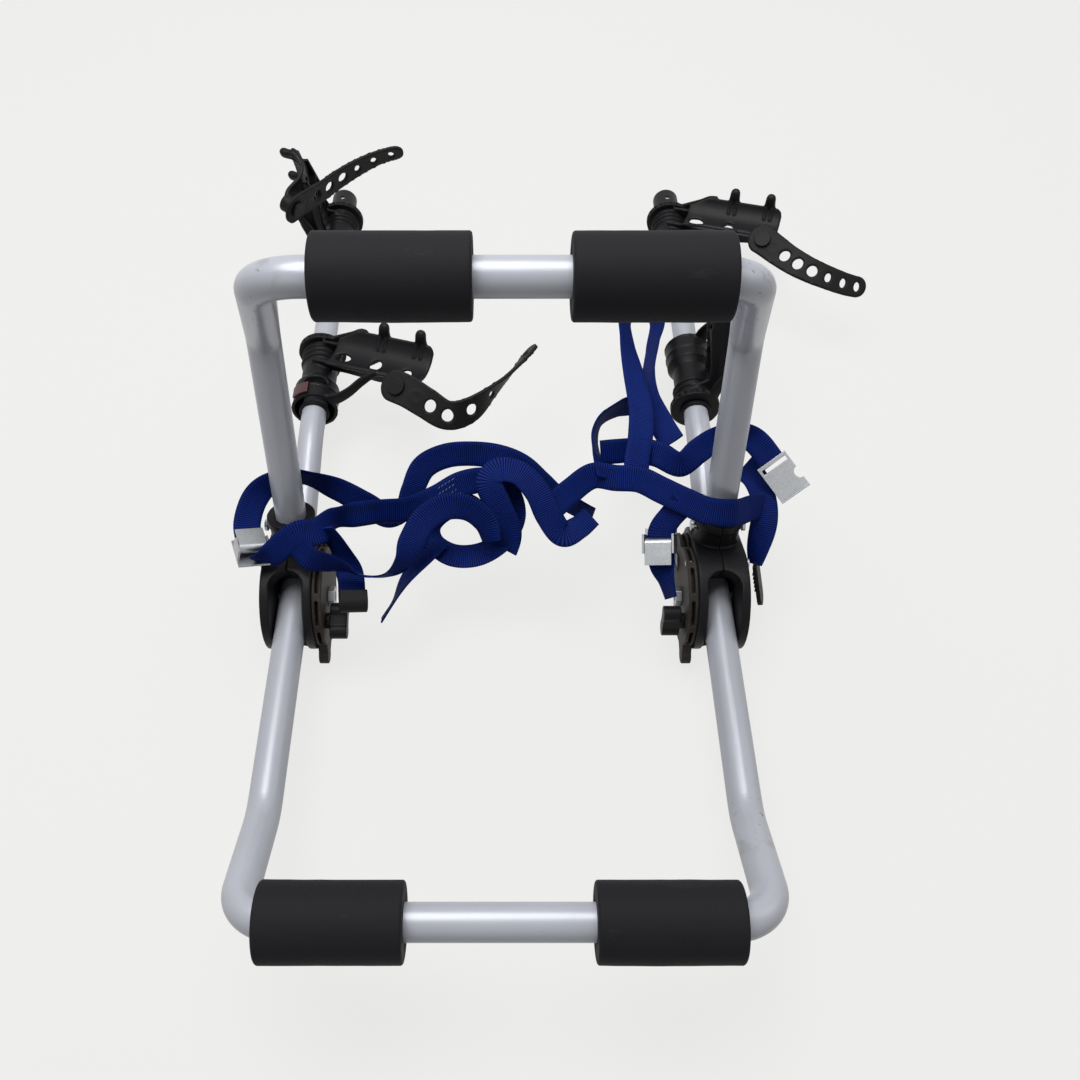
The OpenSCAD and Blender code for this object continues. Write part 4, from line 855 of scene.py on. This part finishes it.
# rubber ladder straps with rimmed holes, in their bosses' frames: the first blind, the last ones narrow
ladders = {
    "rootHalf": 0.017, "tipHalf": 0.011, "endRound": 0.85, "edgeCuts": 120, "grid": 0.0021, "seat": 0.0113,
    "half": 0.0017, "rim": 0.00045, "rimWidth": 0.0026, "rimFace": 0.7, "rivetR": 0.0043, "steps": 4,
    "holes": 7, "firstHole": 0.3, "lastHole": 0.94, "holeR": 0.0058, "holeTall": 1.12,
    "blind": 1, "narrow": 3, "narrowBy": 0.6, "narrowTall": 0.9,
    "routes": {
        "left_near": [
            (-16, 3, 0, 2, 10, 0), (0, 0, 0, 2, 10, 0), (14, -3, 0, 2, 10, 0), (32, -9, -4, 1, 10, 1),
            (56, -16, -10, -1, 9, 3), (76, -4, -19, -1, 8, 6), (92, 24, -33, 4, 7, 6),
            (104, 52, -46, 6, 6, 5), (113, 78, -58, 7, 5, 5),
        ],
        "left_far": [
            (6, 15, 0, 9, -4, 0), (0, 0, 0, 9, -4, 0), (-6, -14, 0, 9, -4, 0), (-16, -38, 1, 9, -4, 0),
            (-22, -64, 4, 10, -3, 0), (-24, -90, 12, 10, -1, 0), (-22, -114, 26, 10, 1, 0),
            (-18, -134, 46, 10, 1, 0),
        ],
        "right_near": [
            (14, -7, 0, 5, 9, 0), (0, 0, 0, 5, 9, 0), (-13, 7, 0, 5, 9, 0), (-34, 19, 0, 5, 9, 0),
            (-58, 31, 0, 4, 9, 0), (-82, 40, 0, 3, 10, 0), (-106, 46, 0, 2, 10, 0),
            (-128, 49, 0, 1, 10, 0),
        ],
        "right_far": [
            (-15, 5, 0, 3, 9, 0), (0, 0, 0, 3, 9, 0), (14, -7, 0, 3, 9, 0), (34, -17, 2, 3, 9, 0),
            (56, -25, 3, 2, 9, 0), (80, -30, 0, 1, 10, 0), (102, -32, -7, 0, 10, 1),
            (122, -31, -14, 0, 10, 1),
        ],
    },
}


# whether a place is inside a ring
def within(ring, x, y):
    inside = False
    for (ax, ay), (bx, by) in zip(ring, ring[1:] + ring[:1]):
        if (ay > y) != (by > y) and x < ax + (y - ay) / (by - ay) * (bx - ax):
            inside = not inside
    return inside


# a flat outline with holes, cut into small triangles
def cutSheet(outline, holes, grid, near=1e-7):
    flat, edges = [], []
    for ring in [outline] + holes:
        first = len(flat)
        flat += [Vector(p) for p in ring]
        edges += [(first + k, first + (k + 1) % len(ring)) for k in range(len(ring))]
    rim = list(flat)

    def isSheet(x, y):
        return within(outline, x, y) and not any(within(h, x, y) for h in holes)

    low, high = ([f(p[k] for p in outline) for k in range(2)] for f in (min, max))
    for i in range(int((high[0] - low[0]) / grid) + 1):
        for j in range(int((high[1] - low[1]) / grid) + 1):
            spot = Vector((low[0] + i * grid, low[1] + (j + 0.5 * (i % 2)) * grid))
            if isSheet(*spot) and all((spot - r).length_squared > (0.5 * grid) ** 2 for r in rim):
                flat.append(spot)
    spots, _, triangles = delaunay_2d_cdt(flat, edges, [], 0, near)[:3]
    kept = [t for t in triangles if isSheet(*(sum(spots[i][k] for i in t) / 3 for k in range(2)))]
    sides = {(a, b): None for t in kept for a, b in zip(t, (t[1], t[2], t[0]))}
    return spots, kept, [(a, b) for a, b in sides if (b, a) not in sides]


# the sheet as a closed form: place(u, v, side, onRim) gives a point of one of its two faces
def thickSheet(outline, holes, grid, place):
    spots, kept, rims = cutSheet(outline, holes, grid)
    onRim = {i for e in rims for i in e}
    used = sorted({i for t in kept for i in t})
    order = {v: 2 * k for k, v in enumerate(used)}
    points = [place(*spots[v], side, v in onRim) for v in used for side in (1, -1)]
    over = [tuple(order[i] for i in t) for t in kept]
    under = [tuple(order[i] + 1 for i in reversed(t)) for t in kept]
    return points, over + under + [(order[a], order[a] + 1, order[b] + 1, order[b]) for a, b in rims]


def oval(x, y, halfX, halfY, count=28):
    turns = [2 * math.pi * k / count for k in range(count)]
    return [(x + halfX * math.cos(a), y + halfY * math.sin(a)) for a in turns]


# a window with a flat sill and a pointed arch over it, towards +y or -y
def archWindow(x, sill, half, height, way, start=8, cuts=8, point=0.8, foot=0.25):
    right = []
    for k in range(cuts + 1):
        a = math.radians(start + (90 - start) * k / cuts)
        rise = height * (foot + (1 - foot) * math.sin(a))
        right.append((x + half * math.cos(a) ** point, sill + way * rise))
    left = [(2 * x - px, py) for px, py in reversed(right[:-1])]
    return [(x - half, sill), (x + half, sill)] + right + left


def makeLadder(name):
    line = StrapLine(inMetres(ladders["routes"][name]))
    length = line.length
    count, first, last, steps, holeR = pick(ladders, "holes firstHole lastHole steps holeR")
    root, tip, endRound, cuts, rivetR = pick(ladders, "rootHalf tipHalf endRound edgeCuts rivetR")
    flat, rim, rimWidth, rimFace = pick(ladders, "half rim rimWidth rimFace")
    end = (len(line.rows) - 1) * steps
    share = (last - first) / (count - 1)
    centres = [line.runAt(round((first + share * h) * end) / steps) for h in range(count)]

    def halfAt(run):
        half = root + (tip - root) * run / length
        ends = min(run, length - run) / (half * endRound)
        return half * (math.sqrt(max(0.0, 1 - (1 - ends) ** 2)) if ends < 1 else 1.0)

    turns = [math.pi * k / cuts for k in range(1, cuts)]
    edge = [(r, halfAt(r)) for r in (length * (0.5 - 0.5 * math.cos(t)) for t in turns)]
    outline = [(0.0, 0.0)] + edge + [(length, 0.0)] + [(r, -h) for r, h in reversed(edge)]
    isNarrow = [h >= count - ladders["narrow"] for h in range(count)]
    sizes = [holeR * (ladders["narrowBy"] if n else 1.0) for n in isNarrow]
    talls = [holeR * ladders["narrowTall" if n else "holeTall"] for n in isNarrow]
    holes = [oval(c, 0.0, r, t) for c, r, t in zip(centres, sizes, talls)][ladders["blind"]:]
    holes.append(oval(line.runAt(1.0), 0.0, rivetR, rivetR))
    toWorld = bossFrame(name) @ Matrix.Translation((0, 0, ladders["seat"]))

    def place(run, across, side, onRim):
        at, way, wide, out = line.frameAt(run)
        gaps = [abs(math.hypot(run - c, across) - r) for c, r in zip(centres, sizes)]
        gap = min([halfAt(run) - abs(across)] + gaps)
        thick = flat + rim * max(0.0, 1 - gap / rimWidth)
        return toWorld @ (at + wide * across + out * side * thick * (rimFace if onRim else 1.0))

    points, faces = thickSheet(outline, holes, ladders["grid"], place)
    piece = newPiece("ladder." + name, points, faces, "black_rubber", "ladder_" + name)
    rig.replaces(piece, "ladder_strap_" + name)


for cradleName in cradles["sets"]:
    makeLadder(cradleName)
print("ladder straps hung:", len(cradles["sets"]))


# closed forms for moulded parts, all in millimetres
def latheForm(profile, sides, shape=None, toPart=None):
    points = []
    for y, r in profile:
        for k in range(sides):
            a = 2 * math.pi * k / sides
            radius = shape(y, r, a) if shape else r
            spot = Vector((radius * math.cos(a), y, radius * math.sin(a)))
            points.append(toPart @ spot if toPart else spot)
    return points, ringFaces(len(profile), sides, True)


def slabForm(outline, low, high):  # an outline in the side plane of x and z, between two places along y
    count = len(outline)
    points = [Vector((x, y, z)) for y in (low, high) for x, z in outline]
    return points, ringFaces(2, count) + [tuple(range(count)), tuple(range(count, 2 * count))]


def barForm(start, end, width, low, high):  # an upright rib between two places on plan
    a, b = Vector(start), Vector(end)
    side = Vector((a.y - b.y, b.x - a.x)).normalized() * width / 2
    plan = [a + side, b + side, b - side, a - side]
    points = [Vector((p.x, p.y, z)) for z in (low, high) for p in plan]
    return points, [(0, 1, 2, 3), (4, 5, 6, 7)] + ringFaces(2, 4)


# a mould's soft skin: the forms fused on a fine grid, smoothed and thinned out
mould = {"grid": 0.0009, "soften": 7, "share": 0.28}


def softSkin(piece, grid, soften, share):
    addModifier(piece, "REMESH", mode="VOXEL", voxel_size=grid)
    addModifier(piece, "SMOOTH", factor=0.5, iterations=soften)
    addModifier(piece, "DECIMATE", decimate_type="COLLAPSE", ratio=share)
    ready = bpy.data.meshes.new_from_object(piece.evaluated_get(bpy.context.evaluated_depsgraph_get()))
    piece.modifiers.clear()
    piece.data = ready
    ready.shade_smooth()


def fuseForms(name, forms, toRack, slot, body):
    points, faces = joinForms(forms)
    piece = newPiece(name, [toRack @ p for p in points], faces, slot, body)
    softSkin(piece, **mould)
    return piece


# cradle mouldings: barrel with a notched ring and grips, hood with an arch, trough, struts, lugs and boss
cradle = {
    "bore": 13.0, "barrelR": 18.5, "ringR": 26.0, "gripR": 21.3, "end": 46.0, "neckAt": -9, "sides": 176,
    "ringW": 8.0, "ringEdge": 1.4, "ringCuts": (1.4, 2.6, 3.0, 6.0, 6.4),
    "notches": 22, "notchDeep": 2.6, "notchFrom": 6.2, "notchTo": 2.8, "notchShare": -0.1,
    "grips": (31, 24, 17), "gripRows": ((3, "barrelR"), (2.6, "gripR"), (0.4, "gripR"), (0, "barrelR")),
    "hoodR": 23.5, "hoodWall": 3.0, "hoodTo": -16.0, "hoodTurn": 82, "hoodCuts": 60, "hoodGrid": 2.4,
    "hoodLap": 3, "hoodInset": (0.8, 0.5), "arch": (0.0, 30.5, 13.5, 13.0, -1),
    "beads": (-45.2, -29.0), "beadRows": ((-0.9, -1), (-0.5, 1.1), (0.5, 1.1), (0.9, -1)), "beadSides": 96,
    "troughR": 30.0, "troughHalf": 1.9, "rise": 50.0, "halfArc": 32.4,
    "lip": 0.7, "lipFrom": 4, "rimFace": 0.8,
    "outline": [
        (19, 21), (27, 25), (35, 29.4), (43, 32.4), (64, 32.4), (70, 33.9), (76, 32.4), (106, 32.4),
        (112, 33.9), (118, 32.4), (123, 31.4), (126.5, 28.4), (128, 23.4), (128, 0), (127, -23.4),
        (125, -29.4), (120, -32.4), (108, -32.4), (90, -33.2), (70, -32.8), (50, -32.4), (41, -31.4),
        (33, -28.4), (25, -24), (19, -21),
    ],
    "outlineStep": 2.5, "troughGrid": 2.6,
    "eye": (32, -3, 9, 6), "windows": ((71, -12, 6.5, 16, 1), (107, -12, 6, 12, 1)),
    "gussetY": 14.0, "gussetHalf": 1.8, "gussetFoot": [(0, -10.5), (15, -6)],
    "gussetDrops": ((24, 11), (44, 11), (77, 14), (120, 8), (120, 0), (0, 0)),
    "latticeX": (45, 70, 95), "latticeW": 2.4, "latticeLow": -8, "latticeHigh": 1,
    "struts": (
        [
            (14, -42, 12, 0, 0, 1, 7, 2.4), (26, -44, 14, 0.1, 0, 1, 7, 2.4),
            (40, -41, 20, 0.2, 0.1, 1, 6, 2.4), (54, -35, 28, 0.2, 0.3, 1, 5, 2.2),
            (70, -32, 36, 0.2, 0.3, 1, 3, 2.0),
        ],
        [
            (12, 41, 16, 0, 0, 1, 6, 2.4), (24, 42, 18, 0.1, 0, 1, 6, 2.4),
            (38, 40, 24, 0.2, -0.1, 1, 5, 2.4), (48, 37, 31, 0.2, -0.3, 1, 4, 2.2),
            (56, 30, 36, 0.2, -0.3, 1, 3, 2.0),
        ],
    ),
    "lugs": (70, 112), "lugRibX": 3.4, "lugRibDrops": (17, 9, 1), "lugRibHalf": (1.3, 1.5),
    "lugRows": (
        (-1.0, -9, 7.2, 3.2), (0.3, -2, 6.8, 3.6), (1.4, 4, 6.0, 4.0),
        (3.4, 9, 5.6, 4.6), (4.6, 12, 4.6, 3.6), (5.2, 14, 1.8, 1.4),
    ),
    "bossProfile": ((-4.5, 0.1), (-4.5, 9.0), (-3.5, 10.0), (8.0, 10.0), (9.0, 9.2), (9.0, 0.1)),
    "bossSides": 64,
    "bossArm": ((-3, 24, -9, 11, 2.6), (-1, 13, -2, 10.5, 3), (0, 5, 0, 9.5, 3.4), (0, 0, 0, 8, 3.4)),
}
millimetres = Matrix.Scale(0.001, 4)


def troughPlace(x, arc, side, onRim):
    radius, half, rise, halfArc, rimFace = pick(cradle, "troughR troughHalf rise halfArc rimFace")
    a = arc / radius
    lip = cradle["lip"] * max(0.0, 1 - (halfArc - abs(arc)) / cradle["lipFrom"])
    r = radius + side * (half * (rimFace if onRim else 1.0) + lip)
    return Vector((x, r * math.sin(a), rise - r * math.cos(a)))


def barrelForms():
    end, bore, ring, ringW, barrel = pick(cradle, "end bore ringR ringW barrelR")
    hood, wall, hoodTo, lap, inset, cuts = pick(cradle, "hoodR hoodWall hoodTo hoodLap hoodInset hoodCuts")
    body = [(end, bore), (end, ring - cradle["ringEdge"])] + [(end - c, ring) for c in cradle["ringCuts"]]
    body += [(end - ringW, ring), (end - ringW, barrel)]
    body += [(y + d, cradle[r]) for y in cradle["grips"] for d, r in cradle["gripRows"]]
    body += [(cradle["neckAt"], barrel), (hoodTo, hood - inset[0])]
    body += [(hoodTo - lap, hood - inset[1]), (hoodTo - lap, bore)]

    def notched(y, r, a):
        count, deep, first, last, share = pick(cradle, "notches notchDeep notchFrom notchTo notchShare")
        return r - deep if end - first < y < end - last and math.cos(count * a) > share else r

    # hood wall with an arch over the tube, unrolled round the barrel
    wallR = hood - wall / 2
    wrap = math.pi * wallR
    turns = [-wrap + 2 * wrap * k / cuts for k in range(cuts + 1)]
    rim = [(-end, t) for t in turns] + [(hoodTo, -t) for t in turns]
    arch = [(-y, x) for x, y in archWindow(*cradle["arch"])]

    def hoodPlace(y, arc, side, onRim):
        a = math.radians(cradle["hoodTurn"]) + arc / wallR
        r = wallR + side * wall / 2
        return Vector((r * math.cos(a), y, r * math.sin(a)))

    forms = [latheForm(body, cradle["sides"], notched)]
    forms.append(thickSheet(rim, [arch], cradle["hoodGrid"], hoodPlace))
    for y in cradle["beads"]:
        forms.append(latheForm([(y + d, hood + r) for d, r in cradle["beadRows"]], cradle["beadSides"]))
    # struts that spread from the barrel's two ends to the trough's edges
    return forms + [sweepForm(rows) for rows in cradle["struts"]]


def troughForms(name):
    outline, fine = cradle["outline"], []
    for (ax, ay), (bx, by) in zip(outline, outline[1:] + outline[:1]):
        cuts = max(1, int(math.hypot(bx - ax, by - ay) / cradle["outlineStep"]))
        fine += [(ax + (bx - ax) * k / cuts, ay + (by - ay) * k / cuts) for k in range(cuts)]
    windows = [oval(*cradle["eye"])] + [archWindow(*w) for w in cradle["windows"]]
    forms = [thickSheet(fine, windows, cradle["troughGrid"], troughPlace)]
    # gussets and crossed ribs under it
    radius, rise, gussetY, gussetHalf = pick(cradle, "troughR rise gussetY gussetHalf")
    seat = rise - math.sqrt(radius ** 2 - gussetY ** 2)
    gusset = cradle["gussetFoot"] + [(x, seat - drop) for x, drop in cradle["gussetDrops"]]
    for s in (-1, 1):
        forms.append(slabForm(gusset, s * gussetY - gussetHalf, s * gussetY + gussetHalf))
    places, width, low, high = pick(cradle, "latticeX latticeW latticeLow latticeHigh")
    for a, b in zip(places, places[1:]):
        for s in (-1, 1):
            ends = (a, -s * gussetY), (b, s * gussetY)
            forms.append(barForm(*ends, width, rise - radius + low, rise - radius + high))
    # lugs, each with two ribs down the trough's inside
    edgeY, edgeZ = radius * math.sin(troughEdge), rise - radius * math.cos(troughEdge)
    arcs = [cradle["halfArc"] - d for d in cradle["lugRibDrops"]]
    for x in cradle["lugs"]:
        rows = [(x, edgeY + y, edgeZ + z, 1, 0, 0, w, t) for y, z, w, t in cradle["lugRows"]]
        forms.append(sweepForm(rows))
        for s in (-1, 1):
            ribs = [troughPlace(x + cradle["lugRibX"] * s, arc, -1, False) for arc in arcs]
            forms.append(sweepForm([(*p, 1, 0, 0, *cradle["lugRibHalf"]) for p in ribs]))
    # boss with its arm
    boss = Vector(cradles["boss"]) * 1000
    toBoss = Matrix.Translation(boss) @ bossTurn(name) @ turned("X", 90)
    forms.append(latheForm(cradle["bossProfile"], cradle["bossSides"], None, toBoss))
    rows = [(boss.x + x, boss.y + y, boss.z + z, 1, 0, 0, w, t) for x, y, z, w, t in cradle["bossArm"]]
    forms.append(sweepForm(rows))
    toCradle = troughFrame(1000)
    return [([toCradle @ p for p in points], faces) for points, faces in forms]


barrel = barrelForms()
for cradleName in cradles["sets"]:
    toRack = cradleFrame(cradleName) @ millimetres
    forms = barrel + troughForms(cradleName)
    made = fuseForms("cradle." + cradleName, forms, toRack, "black_plastic", "cradle_" + cradleName)
    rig.replaces(made, "cradle_" + cradleName)
print("cradles moulded:", len(cradles["sets"]))


# hub shells, lock plates and knobs: soft skins of the CAD shapes
def softCopy(node, body, slot, grid, soften, share):
    piece = addObject("soft." + node, parts[node].data.copy())
    piece.data.materials.clear()
    piece.data.materials.append(finishes[slot])
    softSkin(piece, grid, soften, share)
    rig.ride(piece, body)
    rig.slot(piece, slot)
    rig.replaces(piece, node)


# body, slot, grid, passes of smoothing and share of faces kept
skins = {
    "hub_outer_shell": ("upper_frame", "black_plastic", 0.0009, 9, 0.22),
    "hub_inner_shell": ("upper_frame", "black_plastic", 0.0009, 9, 0.22),
    "lock_plate": ("upper_frame", "lock_plate_plastic", 0.0007, 6, 0.25),
    "knob": ("knob", "black_plastic", 0.0005, 6, 0.3),
}
for skinName, (skinBody, *skinLook) in skins.items():
    for side in ("left", "right"):
        rideOn = "knob_" + side if skinBody == "knob" else skinBody
        softCopy(f"{skinName}_{side}", rideOn, *skinLook)
print("hubs, plates and knobs softened:", 2 * len(skins))

# CAD parts that stay: a finish for each slot, and a soft mould edge where one is wanted
softEdges = {
    "lock_tab": 0.0007, "rivet": 0.0008, "arm_cap": 0.0008, "stop_rings": 0.0006, "pivot_bolts": 0.0008,
    "pivot_nuts": 0.0005, "shell_screws": 0.0005, "leg_bolts": 0.0005, "buckle": 0.0004, "plate_hook": 0.0005,
    "coated_hook": 0.0011, "strap_tongue": 0.0009,
}
slotOf = {s["node"]: s["material_slot"] for s in frame["record"]["subparts"]}
for partName, part in parts.items():
    part.data.materials.clear()
    part.data.materials.append(finishes[slotOf[partName]])
    width = next((w for start, w in softEdges.items() if partName.startswith(start)), None)
    if part.hide_render or width is None:
        continue
    addModifier(part, "WELD", merge_threshold=0.00001)
    addModifier(part, "DECIMATE", decimate_type="DISSOLVE", angle_limit=math.radians(1.0))
    addModifier(
        part, "BEVEL", width=width, segments=3, limit_method="ANGLE", angle_limit=math.radians(32),
        use_clamp_overlap=True,
    )
    addModifier(part, "WEIGHTED_NORMAL", keep_sharp=False, weight=60)
print("CAD parts finished:", sum(not p.hide_render for p in parts.values()))

# floor and light; a lamp has its place, what it points at, its size and its power
studio = {
    "floor": (0.34, 0.34, 0.33), "floorHalf": 8, "floorZ": -0.0005, "seen": 0.77, "sky": 0.88, "world": 0.15,
    "lamps": {
        "ceilingSoftbox": ((-0.3, 0.5, 2.2), (0, 0.1, 0.1), (1.8, 1.4), 58.0),
        "frontFill": ((-1.2, -1.8, 1.5), (0, 0.1, 0.15), (1.2, 1.2), 3.0),
        "sideFill": ((1.8, 0.2, 1.3), (0, 0.1, 0.15), (1.0, 1.2), 4.0),
    },
}


# 1 where a ray shows the backdrop itself, by eye, in a reflection or through glass
def backdropRay(root):
    kinds = ("Is Camera Ray", "Is Glossy Ray", "Is Transmission Ray")
    seen, mirrored, through = (root.node("LightPath", out=kind) for kind in kinds)
    return (seen + mirrored + through).least(1.0)


floorMesh = bpy.data.meshes.new("studioFloor")
far, level = pick(studio, "floorHalf floorZ")
corners = [(-far, -far, level), (far, -far, level), (far, far, level), (-far, far, level)]
floorMesh.from_pydata(corners, [], [(0, 1, 2, 3)])
floor = addObject("studioFloor", floorMesh)
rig.stage(floor)
paperFixed = {"Roughness": 0.9, "Base Color": (*studio["floor"], 1.0)}
paper = newFinish("studioPaper", paperFixed, lambda root, place: {})
paperTree = paper.node_tree
paperRoot = Sock(paperTree)
paperEnd = firstNode(paperTree, "OUTPUT_MATERIAL")
paperLit = Sock(paperTree, firstNode(paperTree, "BSDF_PRINCIPLED").outputs[0])
paperGlow = paperRoot.node("Emission", None, {"Color": (1.0, 1.0, 0.99, 1.0)})
paperSeen = backdropRay(paperRoot) * studio["seen"]
paperMix = paperRoot.node("MixShader", None, {0: paperSeen, 1: paperLit, 2: paperGlow})
paperTree.links.new(paperMix.out, paperEnd.inputs["Surface"])
floorMesh.materials.append(paper)

world = bpy.data.worlds.new("studioSky")
bpy.context.scene.world = world
world.use_nodes = True
sky = firstNode(world.node_tree, "BACKGROUND")
sky.inputs["Color"].default_value = (1.0, 1.0, 1.0, 1.0)
skyRoot = Sock(world.node_tree)
skyLevel = studio["world"] + backdropRay(skyRoot) * (studio["sky"] - studio["world"])
world.node_tree.links.new(skyLevel.out, sky.inputs["Strength"])


def addLamp(name, place, target, size, power):
    data = bpy.data.lights.new(name, "AREA")
    data.shape, data.size, data.size_y, data.energy = "RECTANGLE", size[0], size[1], power
    lamp = addObject(name, data)
    lamp.location = place
    lamp.rotation_euler = (Vector(target) - Vector(place)).to_track_quat("-Z", "Y").to_euler()


for lampName, lampFacts in studio["lamps"].items():
    addLamp(lampName, *lampFacts)
bpy.context.scene.view_settings.view_transform = "Standard"
print("studio lit")

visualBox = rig.bounds()
with open("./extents.json", "w") as kept:
    json.dump({"cad": [list(c) for c in cadBox], "visual": [list(c) for c in visualBox]}, kept)
